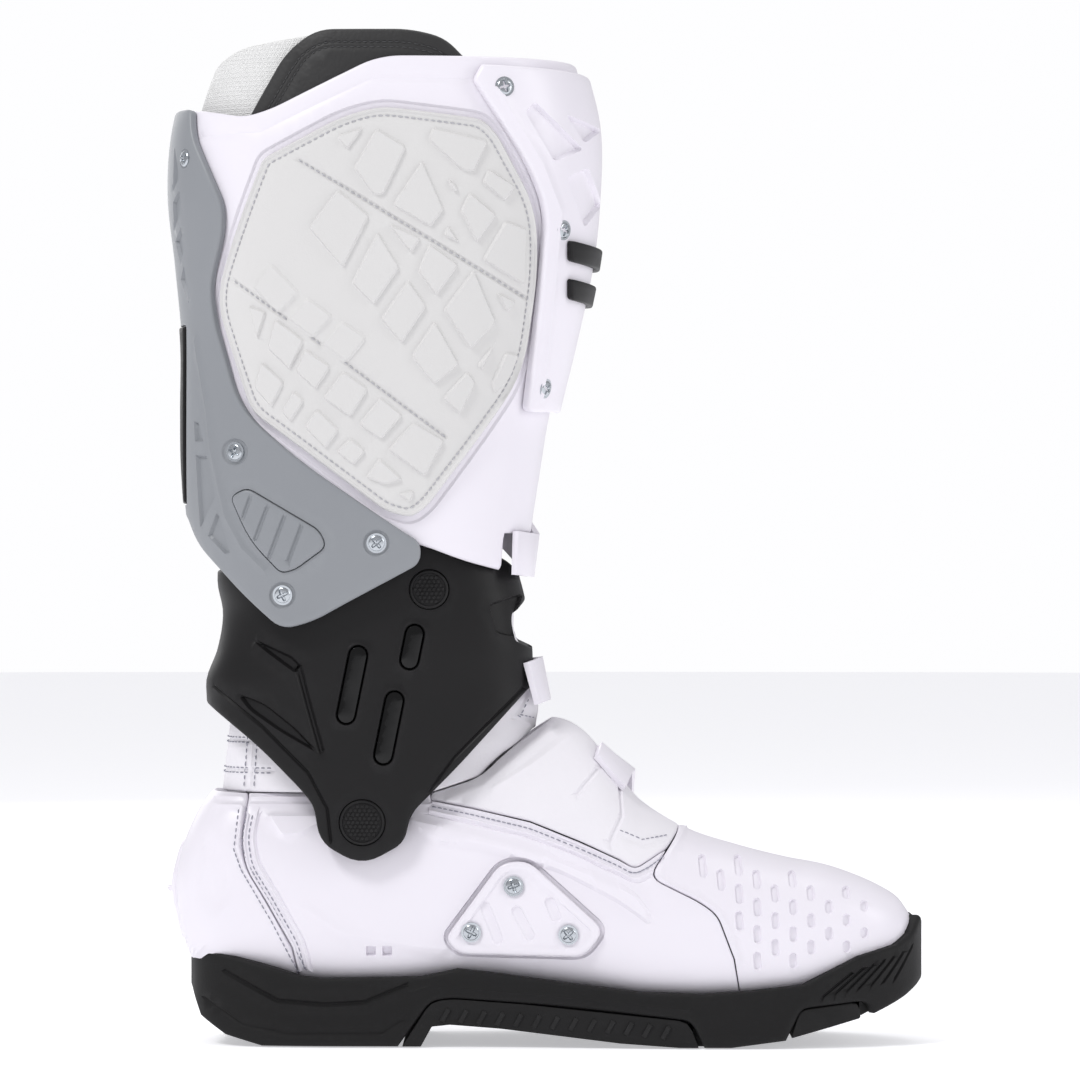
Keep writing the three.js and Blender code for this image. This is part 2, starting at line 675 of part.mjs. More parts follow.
// Gloss insert that fills the brace's slots from behind.
const insertFlange = 1.4;
const slotPlateOutline = [
  [-14, 128, 4], [-6, 171, 4], [24, 178, 4], [31, 160, 4], [18, 112, 4], [5, 112, 4],
];
const insertFlangeLayer = braceBody(-braceWall - fitGap, 5).subtract(
  braceBody(-braceWall - fitGap - insertFlange, 5),
);
const insertBossLayer = braceBody(-1.2, 5).subtract(braceBody(-braceWall - fitGap - 0.5, 5));
add(
  "slot_insert",
  insertFlangeLayer
    .intersect(innerSide(slotPlateOutline))
    .add(insertBossLayer.intersect(slotCuts(-1, -0.35))),
  blackPlastic,
);

// Pivot pins and caps, both sides.
const link = { low: 180, brow: 211.5, shoulder: 220, top: 238, half: 9 };
const linkFace =
  Math.min(
    ...[link.low, 191, 200, link.brow].map((z) =>
      legHalf(braceRows, calfPivot.x + link.half, z, -braceWall),
    ),
  ) - slideGap;
for (const [word, side] of [["inner", -1], ["outer", 1]]) {
  const span = (near, far) => (side < 0 ? [-far, -near] : [near, far]);
  const ankleFace = legHalf(braceRows, ankle.x, ankle.z);
  const calfFace = legHalf(braceRows, calfPivot.x, calfPivot.z);
  const bossInside = footHalf(ankle.x, ankle.z - pivotPin) - shellWall + 0.2;
  const anklePin = barAlongY(
    pivotPin, ankle.x, ankle.z, ...span(bossInside, ankleFace - 1.5), 16,
  );
  add(`${word}_ankle_pin`, anklePin, steel);
  add(
    `${word}_ankle_cap`,
    barAlongY(
      ankleCap.radius, ankle.x, ankle.z, ...span(ankleFace - 0.9, ankleFace + ankleCap.proud),
    ),
    blackPlastic,
  );
  const calfPin = barAlongY(
    pivotPin, calfPivot.x, calfPivot.z,
    ...span(linkFace - linkWall, calfFace - 1.5), 16,
  );
  add(`${word}_calf_pin`, calfPin, steel);
  add(
    `${word}_calf_cap`,
    barAlongY(
      calfCap.radius, calfPivot.x, calfPivot.z, ...span(calfFace - 0.9, calfFace + calfCap.proud),
    ),
    blackPlastic,
  );
}

// Calf shell, split down the front of its outer side so that the boot opens.
const calfCut = sidePrism([...calfTop, ...calfBottom, [-120, 206], [-120, 386]]);
const entrySlot = { near: 30, far: 46, fromX: 40 }; // Y range of the opening, in front of fromX
const slotBox = new THREE.BoxGeometry(120, entrySlot.far - entrySlot.near, 2 * calfBase);
slotBox.translate(entrySlot.fromX + 60, (entrySlot.near + entrySlot.far) / 2, 1.7 * calfBase);
const calfShell = calfLayer(-shellWall, 0)
  .intersect(calfCut)
  .subtract(solid(slotBox))
  .subtract(braceBody(slideGap));
add("calf_shell", calfShell, whitePlastic);

// Plates, pads and trim on the calf shell.
const outerFace = fitGap + platePanelWall;
const plateLayer = calfLayer(fitGap, outerFace);
const plateFace = (x, z) => legHalf(calfRows, x, z, outerFace);
const shinFace = (x, z) => legHalf(calfRows, x, z, outerFace + 1);
const padDepth = 1.2;
const padSeat = sidePrism(platePadOutline).intersect(
  calfBody(outerFace + 5, 12).subtract(calfBody(outerFace - padDepth, 14)),
);
const spineSeat = calfLayer(outerFace - padDepth, outerFace + 5).intersect(sidePrism(spineOutline));
add(
  "calf_plate",
  plateLayer
    .intersect(sidePrism(calfPlateOutline))
    .subtract(padSeat)
    .subtract(spineSeat)
    .subtract(screwSeats(plateFace, plateScrews)),
  greyPlastic,
);
const padLayer = calfLayer(outerFace - padDepth + 0.3, outerFace + 1);
const padInset = grown(platePadOutline, -fitGap);
add("inner_plate_pad", padLayer.intersect(innerSide(padInset)), greyPlastic);
add("outer_plate_pad", padLayer.intersect(outerSide(padInset)), greyPlastic);
add(
  "spine_strip",
  calfLayer(outerFace - padDepth + 0.3, outerFace + 0.8).intersect(
    sidePrism(grown(spineOutline, -fitGap)),
  ),
  blackPlastic,
);
add(
  "grip_panel",
  calfLayer(fitGap, fitGap + 1.8)
    .intersect(innerSide(gripOutline))
    .subtract(sidePrism(grown(calfPlateOutline, fitGap)))
    .subtract(sidePrism(grown(shinOutline, fitGap))),
  padRubber,
);
const shinEdge = 30; // how far the shin plate reaches round to the outer side
const shinCut = sidePrism(shinOutline, -beyond, shinEdge - 0.5);
const shinTop = sidePrism(drawn([[0, 404], [120, 400], [120, 180], [0, 180]]));
add(
  "shin_plate",
  calfLayer(fitGap, outerFace + 1).intersect(shinCut).intersect(shinTop)
    .subtract(screwSeats(shinFace, shinScrews)),
  whitePlastic,
);
add(
  "shin_emblem",
  calfLayer(outerFace + 1.3, outerFace + 4).intersect(sidePrism(emblemOutline, -26, 26)),
  blackPlastic,
);
plateScrews.forEach((at, i) => add(`calf_plate_screw_${i + 1}`, screwHead(plateFace, at), steel));
shinScrews.forEach((at, i) => add(`shin_screw_${i + 1}`, screwHead(shinFace, at), steel));

// Soft lining, collar and knit cuff at the top of the calf.
const linerOut = -shellWall - fitGap;
const linerFoot = 239.5;
const softSeam = upLeg(371.5); // the lining ends and the collar starts here
const linerCut = sidePrism([[-120, linerFoot], [120, linerFoot], [120, softSeam], [-120, softSeam]]);
add(
  "calf_liner",
  calfLayer(linerOut - linerWall, linerOut).intersect(linerCut),
  blackFabric,
);
const collarWall = 3.4;
const softOut = -shellWall - fitGap;
const tallLayer = (from, to) => calfBody(to, 20).subtract(calfBody(from, 24));
add(
  "collar",
  tallLayer(softOut - collarWall, softOut).intersect(sidePrism(collarOutline)),
  blackFabric,
);
const cuffOut = softOut - collarWall - fitGap;
const cuffWall = 2.4;
add(
  "knit_cuff",
  tallLayer(cuffOut - cuffWall, cuffOut).intersect(sidePrism(cuffOutline)),
  whiteKnit,
);

// Links that hang the calf on the upper pivots, bent from the shell down inside the brace.
for (const [word, side] of [["inner", -1], ["outer", 1]]) {
  const inShell = (z) => legHalf(calfRows, calfPivot.x + link.half, z, -shellWall) - slideGap;
  const path = [
    [linkFace, link.low],
    [linkFace, link.brow],
    [inShell(link.shoulder), link.shoulder],
    [inShell(link.top), link.top],
  ];
  const back = path.map(([y, z], i) => [y - linkWall, z + (i === 1 || i === 2 ? 1 : 0)]);
  const outline = [...path, ...back.reverse()].map(([y, z]) => new THREE.Vector2(side * y, z));
  const geometry = new THREE.ExtrudeGeometry(new THREE.Shape(outline), {
    depth: 2 * link.half,
    bevelEnabled: false,
  });
  // The section lies in the YZ plane and is extruded along X.
  const axes = [v(0, 1, 0), v(0, 0, 1), v(1, 0, 0)];
  geometry.applyMatrix4(new THREE.Matrix4().makeBasis(...axes));
  geometry.translate(calfPivot.x - link.half, 0, 0);
  add(`${word}_calf_link`, solid(geometry).subtract(pivotHole(calfPivot, side)), nylon);
}

// Straps and buckles. Each strap starts at the front, runs round to the outer side and ends in two
// ears that hold a lever. The lever closes over a receiver fixed to the shell.
const degree = Math.PI / 180;
const round = (rows, spots) =>
  spots.map(([z, turn, out = strapOut]) => onLeg(rows, upLeg(z), turn * degree, out));
const beside = (rows) => (x, z, out) => v(x, legHalf(rows, x, z) + out, z);
const besideFoot = (x, z, out) => v(x, sample(footRows, x)[3] + footHalf(x, z) + out, z);
const overFoot = (x, y, rise) => v(x, y, footTop(x, y) + rise);
const leverLift = 7.6; // middle of a lever above the shell
const strapLift = 4.6; // middle of a strap's end above the shell
const upright = v(0, 0, -1);

const straps = [
  {
    name: "top",
    path: round(calfRows, [
      [371, 19.9], [371, 27], [371, 34], [370.5, 41], [370, 48], [369.5, 55], [369, 62, 3],
      [369, 70, 3.8],
    ]),
    across: [upright, upright],
    end: [36, 368.5],
    aim: [-1, -0.04],
    surface: beside(calfRows),
    under: calfBody(fitGap),
  },
  {
    name: "shin",
    path: round(calfRows, [
      [203, -34], [202.5, -24], [202, -12], [202, 0], [203, 12], [206, 24], [211, 35], [217, 45],
      [222, 54, 3], [226.5, 62, 3.8],
    ]),
    across: [v(0, 0, -1), v(-0.4, 0, -0.91)],
    end: [27, 231],
    aim: [-1, 0.45],
    surface: beside(calfRows),
    under: calfBody(fitGap),
  },
  {
    name: "ankle",
    path: round(braceRows, [
      [149, -28], [150, -18], [150.5, -8], [150.5, 4], [150, 16], [149.5, 28], [149, 38], [148, 48, 3],
      [147.5, 58, 3.8],
    ]),
    across: [v(0.25, 0, -0.97), v(0.08, 0, -1)],
    end: [44, 146.5],
    aim: [-1, -0.1],
    surface: beside(braceRows),
    under: braceBody(fitGap),
  },
  {
    name: "instep",
    path: [
      overFoot(102, -26, 3.2), overFoot(103.5, -16, 4.4), overFoot(104.5, -4, 5.4),
      overFoot(105, 8, 5.6), overFoot(105, 19, 6.2), besideFoot(104.5, 107, 8.5),
      besideFoot(103.5, 97, 7),
    ],
    across: [v(0.6, 0, -0.8), v(0.93, 0, -0.36)],
    end: [101, 87],
    aim: [-0.33, -0.94],
    surface: besideFoot,
    under: footBody(fitGap),
  },
];

const buckle = { reach: 3.4, pin: 1.6, ear: 2, earHeight: 7.4 }; // reach: strap end to hinge
for (const { name, path, across: [first, last], end, aim, surface, under } of straps) {
  const along = new THREE.Vector2(...aim).normalize();
  const place = (run, out) =>
    surface(end[0] + along.x * run, upLeg(end[1]) + along.y * run, out);
  const line = (runs, out) => runs.map((run) => ({ at: place(run, out), across: last }));
  const stations = [...path, place(0, strapLift)].map((at, i) => ({
    at,
    across: first.clone().lerp(last, i / path.length),
  }));
  const hinge = place(buckle.reach, leverLift);
  const forward = place(buckle.reach + 4, leverLift).sub(hinge).normalize();
  const axis = last.clone().addScaledVector(forward, -last.dot(forward)).normalize();
  const pinFrom = (reach) => hinge.clone().addScaledVector(axis, reach);
  const earPlace = lever.width / 2 + fitGap + buckle.ear / 2;
  const earMiddle = strapLift - strapWall / 2 + buckle.earHeight / 2;
  const ears = [-1, 1].map((side) => {
    const earLine = line([-5, 0, buckle.reach + 4], earMiddle);
    earLine.forEach(({ at }) => at.addScaledVector(axis, side * earPlace));
    return ribbon(earLine, buckle.ear, buckle.earHeight);
  });
  const pinReach = earPlace + buckle.ear / 2;
  add(
    `${name}_strap`,
    ribbon(stations, strapWidth, strapWall)
      .add(ears[0])
      .add(ears[1])
      .subtract(under)
      .subtract(bar(buckle.pin + fitGap, pinFrom(-pinReach - 2), pinFrom(pinReach + 2))),
    whitePlastic,
  );
  const leverRuns = [buckle.reach - 1.6, 12, 24, lever.length - 4, lever.length];
  add(
    `${name}_lever`,
    ribbon(line(leverRuns, leverLift), lever.width, lever.wall).add(
      bar(buckle.pin, pinFrom(-pinReach), pinFrom(pinReach)),
    ),
    whitePlastic,
  );
  boot.children.at(-1).userData = { hinge: hinge.toArray(), axis: axis.toArray() };
  const receiverTop = leverLift - lever.wall / 2 - 0.7;
  const receiverRoot = -2; // the block is trimmed to the shell it stands on
  add(
    `${name}_receiver`,
    ribbon(line([8, 16, 24, 32], (receiverTop + receiverRoot) / 2), lever.width - 2,
      receiverTop - receiverRoot).subtract(under),
    blackPlastic,
  );
}

export default boot;
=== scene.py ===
"""Looks of a tall off-road riding boot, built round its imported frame."""
import json
import math
from functools import partial

import bmesh
import bpy
import numpy as np
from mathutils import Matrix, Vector
from mathutils.bvhtree import BVHTree
from mathutils.geometry import delaunay_2d_cdt

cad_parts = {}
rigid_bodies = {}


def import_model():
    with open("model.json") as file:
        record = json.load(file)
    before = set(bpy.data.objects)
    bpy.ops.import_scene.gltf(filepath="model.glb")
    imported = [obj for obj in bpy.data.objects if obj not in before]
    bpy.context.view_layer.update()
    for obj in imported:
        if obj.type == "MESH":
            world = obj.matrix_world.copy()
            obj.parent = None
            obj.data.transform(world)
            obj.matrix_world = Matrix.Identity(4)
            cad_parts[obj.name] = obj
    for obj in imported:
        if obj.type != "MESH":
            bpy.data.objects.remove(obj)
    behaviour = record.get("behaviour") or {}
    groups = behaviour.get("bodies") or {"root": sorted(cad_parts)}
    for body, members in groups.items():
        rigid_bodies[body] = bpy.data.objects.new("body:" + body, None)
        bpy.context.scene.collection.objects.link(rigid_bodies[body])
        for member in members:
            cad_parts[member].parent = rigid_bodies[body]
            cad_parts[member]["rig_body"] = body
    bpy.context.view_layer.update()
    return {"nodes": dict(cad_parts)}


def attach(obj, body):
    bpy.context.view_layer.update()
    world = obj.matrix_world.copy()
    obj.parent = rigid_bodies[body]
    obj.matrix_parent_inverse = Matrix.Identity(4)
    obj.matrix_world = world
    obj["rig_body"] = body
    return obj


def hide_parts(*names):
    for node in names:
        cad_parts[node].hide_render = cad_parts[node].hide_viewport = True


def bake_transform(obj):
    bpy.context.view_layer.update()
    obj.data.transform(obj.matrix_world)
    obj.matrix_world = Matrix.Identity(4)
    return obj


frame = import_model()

MM = 0.001  # the tables and outlines below are in millimetres

# ---- sizes and tables, as the part's own source has them ----

GAP = 0.4  # between pieces that touch
SHELL = 3.0  # wall of the white shells
PLATE_FACE = 3.4  # outer face of the grey plate above the calf shell
SHIN_FACE = 4.4  # outer face of the shin plate
BRACE_WALL = 3.4
ANKLE = (0.0, 92.3)
CALF_PIVOT = (27.5, 188.0)
ANKLE_CAP = 9.2
CALF_CAP = 7.9

# Height, back, front, half width, squareness.
CALF = [
    (180, -63, 65, 53, 3.2), (211, -70, 69, 56, 3.1), (237, -72.5, 73, 58, 2.9),
    (261, -73, 77, 60, 2.7), (290, -73, 84, 62.5, 2.6), (323, -76, 91, 65, 2.6),
    (352, -79, 94, 66.5, 2.6), (380, -77, 94, 67, 2.6), (406, -69, 88, 66, 2.6),
]
BRACE = [
    (70, -66, 73, 47.6, 3.2), (142, -66, 73, 48.2, 3.2), (151, -66, 72, 48.5, 3.2),
    (163, -61.5, 71.5, 48.8, 3.2), (178, -59.2, 69.5, 49, 3.2), (191, -61.5, 66.5, 49, 3.2),
    (210, -60, 60.5, 48.5, 3.2),
]
BELLOWS = [
    (99, -60.5, 70, 36, 2.6), (118, -58.5, 72, 36.5, 2.6), (140, -56, 72, 37, 2.6),
    (165, -53.5, 65, 36, 2.6), (196, -52, 57.5, 35, 2.6),
]
# Position, underside, top, half width, sideways shift.
FOOT = [
    (-79, 58, 69, 9, 0), (-77, 48, 78, 17, 0), (-73, 36, 89, 24.5, 0), (-67, 31, 100, 30, 0),
    (-58, 29, 109, 34.5, 0), (-40, 25, 113, 38, 0), (-15, 20, 113, 40, 0), (10, 20, 114, 41, 0),
    (30, 22, 118, 41, 0), (50, 22, 126, 41.5, 0.3), (66, 20.5, 132, 43, 0.8),
    (80, 18.5, 134, 44.5, 1.3), (92, 17, 127.5, 46, 1.8), (103, 15.5, 113.5, 47.5, 2.2),
    (115, 14.5, 99, 49, 2.5), (135, 14, 87.5, 50.5, 2.5), (155, 15, 81, 50, 1.5),
    (175, 17.5, 76, 47, -0.5), (192, 22, 72.8, 42, -2.5), (205, 27, 68.5, 36, -4.3),
    (215, 31.5, 64, 29, -6), (222, 36.5, 59.5, 21, -7), (226, 43, 54, 12, -7.6),
    (227.5, 46, 51, 6, -8),
]
CROWN, BASE = 2.5, 4.2  # squareness of a foot section's upper and lower half
HEEL_END, TOE_END = -79, 227.5
END_REACH = 22  # how far from its ends a grown or shrunk foot draws them in
# Position, half width of the sole.
PLAN = [
    (-72.5, 6), (-70, 18), (-65, 27), (-55, 34.5), (-40, 40), (-15, 43), (30, 44), (66, 46),
    (92, 49), (115, 52), (135, 53.8), (155, 53.3), (175, 50.4), (192, 45.6), (205, 39.8),
    (215, 33.3), (223, 25), (229, 14), (231.7, 5),
]
# Side-view lines and outlines: x, z, corner radius.
SOLE_TOP = [
    (-73, 39.5), (-54, 36.5), (-36, 32), (-25, 28.7), (-17, 28), (24, 28.7), (39, 32), (57, 30),
    (81, 26.7), (114, 22.6), (139, 22.1), (159, 23.4), (180, 25.8), (192, 32), (202, 37.3),
    (216.5, 41.4), (223, 45.5), (228.5, 52.5), (232, 50),
]
SOLE_BOTTOM = [
    (232, 27), (220.6, 20), (207.5, 13.5), (204.2, 18.9, 3), (179.2, 16, 3), (172.9, 2.9),
    (151, 0), (139.9, 0), (134.3, 11.1, 4), (81, 16.9, 20), (36, 20, 5), (27.8, 18.6, 5),
    (14.5, 0), (-42, 0), (-57.4, 4.1), (-68, 11), (-74, 26),
]
SOLE_UNDER = [
    (-74, 26), (-68, 11), (-57.4, 4.1), (-42, 0), (24, 0), (28.5, 8.2), (36, 9), (57, 7.4),
    (81, 4.5), (106, 1.6), (130, 0), (151, 0), (172.6, 2.9), (204, 11.5), (220.6, 20), (232, 27),
]
HEEL_SEAM = [
    (-48, 101.7), (-50.8, 85.3, 20), (-48.8, 73, 20), (-41, 60.7, 20), (-29.5, 40.2), (-23, 10),
]
TOE_SEAM = [
    (135, 100), (131.6, 89.4, 6), (118, 70, 6), (138.6, 60, 20), (146, 54.5, 12), (153, 36.1),
    (158, 5),
]
INSTEP_SEAM = [
    (27.9, 101.5), (44.3, 98.4), (68.9, 92.7), (89.4, 84.5), (105.8, 77.1), (111.9, 73.4, 6),
    (118, 77.1), (130.4, 84.5, 4), (133, 100),
]
THROAT = [(27.9, 104, 10), (48.4, 110.7, 20), (57.8, 120, 10), (68.9, 128.3, 20), (79.5, 135.5)]
BRACE_EDGE = [
    (-75, 196), (-57.8, 196), (-50, 199, 8), (0, 201, 8), (24, 210, 8), (44, 206), (60, 200, 4),
    (67.5, 190, 3), (67.8, 183.7, 2), (63, 178, 2), (63, 167, 2), (72, 163.2, 2), (75, 159),
    (74, 150.9, 3), (68.9, 146.8, 5), (56.6, 133.7, 10), (40.2, 116, 10), (27.9, 103.7, 15),
    (19.7, 95.5, 6), (17.5, 84, 17.5), (0, 74.3, 10), (-17.5, 84, 17.5), (-20, 99.2, 10),
    (-25.4, 105.8, 10), (-42.6, 123, 15), (-59.5, 136.1, 10), (-75, 147),
]
CALF_TOP = [(-90, 386), (-71.3, 386), (-48, 381, 15), (-36, 384.5, 15), (3, 404, 15), (12, 406, 10),
            (120, 406)]
CALF_BOTTOM = [(-90, 206), (-40, 206), (20, 208, 10), (42, 199.5, 10), (57.5, 195.5), (58.5, 211),
               (120, 211)]
PLATE_EDGE = [
    (-95, 387), (-71.3, 386, 2), (-70.5, 374, 15), (-57, 345, 12), (-57.5, 333, 12),
    (-63, 313, 25), (-61.5, 298.5, 20), (-50, 261.6, 12), (-25.4, 240.3, 40), (15.6, 212.4, 20),
    (24.5, 207, 5), (24, 198.5, 6), (-20, 175, 12), (-33, 171.5, 10), (-48, 184.5, 12),
    (-68.5, 206.2, 10), (-74, 219, 4), (-95, 222),
]
PAD_EDGE = [
    (-54, 226, 3), (-47, 230, 4), (-17, 212.4, 8), (-14, 205.5, 4), (-27, 196, 5), (-33, 194.5, 5),
    (-46, 208, 10),
]
GRIP_EDGE = [
    (-39.5, 364, 3), (-8, 380.5, 18), (8, 385, 12), (49, 380, 5), (55, 374, 8), (70.5, 344, 20),
    (71, 318, 15), (64.8, 276, 25), (46, 248, 20), (27, 222.5, 4), (20.5, 217.5, 6),
    (10, 220, 10), (-44.5, 261, 6), (-50, 278, 20), (-58.8, 308, 12), (-50, 337, 40),
]
SHIN_EDGE = [
    (49.9, 402.3, 1.5), (46.3, 396, 2), (68.9, 362, 30), (77, 343, 15), (73, 298.5, 40),
    (69.5, 270, 30), (68.5, 260.5, 3), (110, 262),
]
CUFF_EDGE = [
    (0, 372), (0, 415), (-20, 415), (-50, 410.5, 6), (-60.3, 404.3, 6), (-69.3, 385.4), (-90, 383),
]
COLLAR_EDGE = [
    (-45.1, 372, 2), (-45.1, 381.3, 4), (-30, 408, 8), (-18, 417, 8), (20, 417, 12),
    (34, 413.5, 8), (43, 404), (120, 401),
]
SIDE_PLATE = [
    (34, 44.5, 7), (57, 75.5, 6), (68, 76.5, 6), (99.5, 48, 5), (91.5, 37.3, 5), (39.5, 38.5, 6),
]
OUTER_PLATE = [
    (34, 42, 4), (42, 52, 5), (90, 51, 5), (99.5, 44, 4), (91.5, 37.3, 5), (39.5, 37.5, 4),
]
SLOTS = [(-4.1, 148.8, 33), (20.5, 164.4, 19), (11, 131.2, 31)]  # x, z, length
SLOT_WIDTH, SLOT_LEAN = 8.0, 0.2
PLATE_SCREWS = [(-73.4, 365.3), (-52, 244.4), (6.2, 207), (-32.4, 185.7)]
SHIN_SCREWS = [(58.6, 393.2), (82.8, 335.4), (75.4, 270.6)]
SIDE_SCREWS = [(62.3, 66), (44.7, 47.2), (84.9, 46.3)]

# ---- curves and outlines ----


def sample(rows, at):
    """Values at `at` of the smooth curves through rows of (at, value, value, ...)."""
    rows = np.asarray(rows, float)
    at = np.atleast_1d(np.asarray(at, float))
    k = np.clip(np.searchsorted(rows[:, 0], at, side="right"), 1, len(rows) - 1)
    start, end = rows[k - 1], rows[k]
    before, after = rows[np.maximum(k - 2, 0)], rows[np.minimum(k + 1, len(rows) - 1)]
    span = end[:, :1] - start[:, :1]
    u = np.clip((at[:, None] - start[:, :1]) / span, 0, 1)
    slope_in = (end[:, 1:] - before[:, 1:]) / (end[:, :1] - before[:, :1])
    slope_out = (after[:, 1:] - start[:, 1:]) / (after[:, :1] - start[:, :1])
    return (
        (2 * u**3 - 3 * u**2 + 1) * start[:, 1:]
        + (u**3 - 2 * u**2 + u) * span * slope_in
        + (3 * u**2 - 2 * u**3) * end[:, 1:]
        + (u**3 - u**2) * span * slope_out
    )


def rounded(value, square):
    return np.sign(value) * np.abs(value) ** (2 / square)


def soft_corners(points, closed=True):
    """An outline with its corners rounded where a radius is given."""
    made = []
    count = len(points)
    for i, point in enumerate(points):
        here = np.array(point[:2], float)
        radius = point[2] if len(point) > 2 else 0
        if radius == 0 or (not closed and i in (0, count - 1)):
            made.append(here)
            continue
        last = np.array(points[i - 1][:2], float) - here
        following = np.array(points[(i + 1) % count][:2], float) - here
        a, b = np.linalg.norm(last), np.linalg.norm(following)
        reach = min(radius, a * 0.45, b * 0.45)
        start, end = here + last / a * reach, here + following / b * reach
        for t in np.linspace(0, 1, 6):
            made.append((1 - t) ** 2 * start + 2 * t * (1 - t) * here + t**2 * end)
    return np.array(made)


def fine(points, step=1.3, closed=True):
    """The same line with no segment longer than step and no two points on top of each other."""
    points = np.asarray(points, float)
    ends = np.roll(points, -1, 0) if closed else points[1:]
    made = []
    for a, b in zip(points, ends):
        parts = max(1, int(math.ceil(np.linalg.norm(b - a) / step)))
        made += [a + (b - a) * t / parts for t in range(parts)]
    if not closed:
        made.append(points[-1])
    kept = [made[0]]
    for p in made[1:]:
        if np.linalg.norm(p - kept[-1]) > 0.3:
            kept.append(p)
    if closed and np.linalg.norm(kept[0] - kept[-1]) < 0.3:
        kept.pop()
    return np.array(kept)


def distance(points, line, closed=True):
    """How far each point is from a line."""
    a = line if closed else line[:-1]
    b = np.roll(line, -1, 0) if closed else line[1:]
    best = np.full(len(points), 1e9)
    for k in range(0, len(a), 48):
        start, way = a[k : k + 48], b[k : k + 48] - a[k : k + 48]
        size = np.maximum((way**2).sum(1), 1e-12)
        off = points[:, None] - start
        t = np.clip((off * way).sum(2) / size, 0, 1)
        best = np.minimum(best, np.linalg.norm(off - t[..., None] * way, axis=2).min(1))
    return best


def inside(points, loop):
    """Which points lie inside a closed loop."""
    crossed = np.zeros(len(points), bool)
    x, y = points[:, 0], points[:, 1]
    for (ax, ay), (bx, by) in zip(loop, np.roll(loop, -1, 0)):
        if ay != by:
            at = ax + (y - ay) * (bx - ax) / (by - ay)
            crossed ^= ((ay > y) != (by > y)) & (x < at)
    return crossed


def shifted(line, amount, closed=True):
    """A line moved to its left; a closed one runs anticlockwise, so left is inwards."""
    before, after = np.roll(line, 1, 0), np.roll(line, -1, 0)
    if not closed:
        before[0], after[-1] = line[0], line[-1]
    way = after - before
    way /= np.maximum(np.linalg.norm(way, axis=1, keepdims=True), 1e-9)
    return line + np.stack([-way[:, 1], way[:, 0]], 1) * amount


def anticlockwise(loop):
    x, y = loop[:, 0], loop[:, 1]
    turn = (x * np.roll(y, -1) - y * np.roll(x, -1)).sum()
    return loop if turn > 0 else loop[::-1].copy()


# ---- unrolled faces ----


class Skin:
    """A body's outer face, unrolled flat: across is the way round a section from its first
    point, positive towards +Y, and level is the way along the body."""

    def __init__(self, levels, sections, reach):
        self.levels = np.asarray(levels, float)
        self.across = np.arange(-reach, reach + 1, 1.0)
        self.lengths, self.half_rows = [], []
        table = []
        for ring in sections:
            loop = np.vstack([ring, ring[:1]])
            run = np.concatenate([[0], np.cumsum(np.linalg.norm(np.diff(loop, axis=0), axis=1))])
            self.lengths.append(run[-1])
            at = np.mod(self.across, run[-1])
            table.append(np.stack([np.interp(at, run, loop[:, k]) for k in range(3)], 1))
            half = run <= run[-1] / 2
            self.half_rows.append((run[half], loop[half]))
        self.table = np.array(table)
        self.lengths = np.array(self.lengths)
        along = np.gradient(self.table, axis=0)
        around = np.gradient(self.table, axis=1)
        out = np.cross(around, along)
        out /= np.maximum(np.linalg.norm(out, axis=2, keepdims=True), 1e-9)
        middle = np.array([ring.mean(0) for ring in sections])
        if ((self.table - middle[:, None]) * out).sum() < 0:
            out = -out
        self.out = out

    def look(self, table, across, level):
        row = np.interp(level, self.levels, np.arange(len(self.levels)))
        column = np.clip(across - self.across[0], 0, len(self.across) - 1.001)
        r = np.minimum(row.astype(int), len(self.levels) - 2)
        c = column.astype(int)
        u, v = (row - r)[:, None], (column - c)[:, None]
        near = table[r, c] * (1 - v) + table[r, c + 1] * v
        far = table[r + 1, c] * (1 - v) + table[r + 1, c + 1] * v
        return near * (1 - u) + far * u

    def at(self, flat, height):
        """Points at flat (across, level) places, a height above the face."""
        normal = self.normal(flat)
        return self.look(self.table, flat[:, 0], flat[:, 1]) + normal * np.reshape(height, (-1, 1))

    def normal(self, flat):
        normal = self.look(self.out, flat[:, 0], flat[:, 1])
        return normal / np.maximum(np.linalg.norm(normal, axis=1, keepdims=True), 1e-9)

    def length(self, level):
        return np.interp(level, self.levels, self.lengths)

    def row(self, level):
        return self.half_rows[int(np.argmin(np.abs(self.levels - level)))]

    def between(self, level, read):
        """What `read` says of the two sections next to a level, mixed by nearness."""
        k = int(np.clip(np.searchsorted(self.levels, level), 1, len(self.levels) - 1))
        share = (level - self.levels[k - 1]) / (self.levels[k] - self.levels[k - 1])
        share = min(max(share, 0.0), 1.0)
        below, above = read(*self.half_rows[k - 1]), read(*self.half_rows[k])
        return (1 - share) * below + share * above


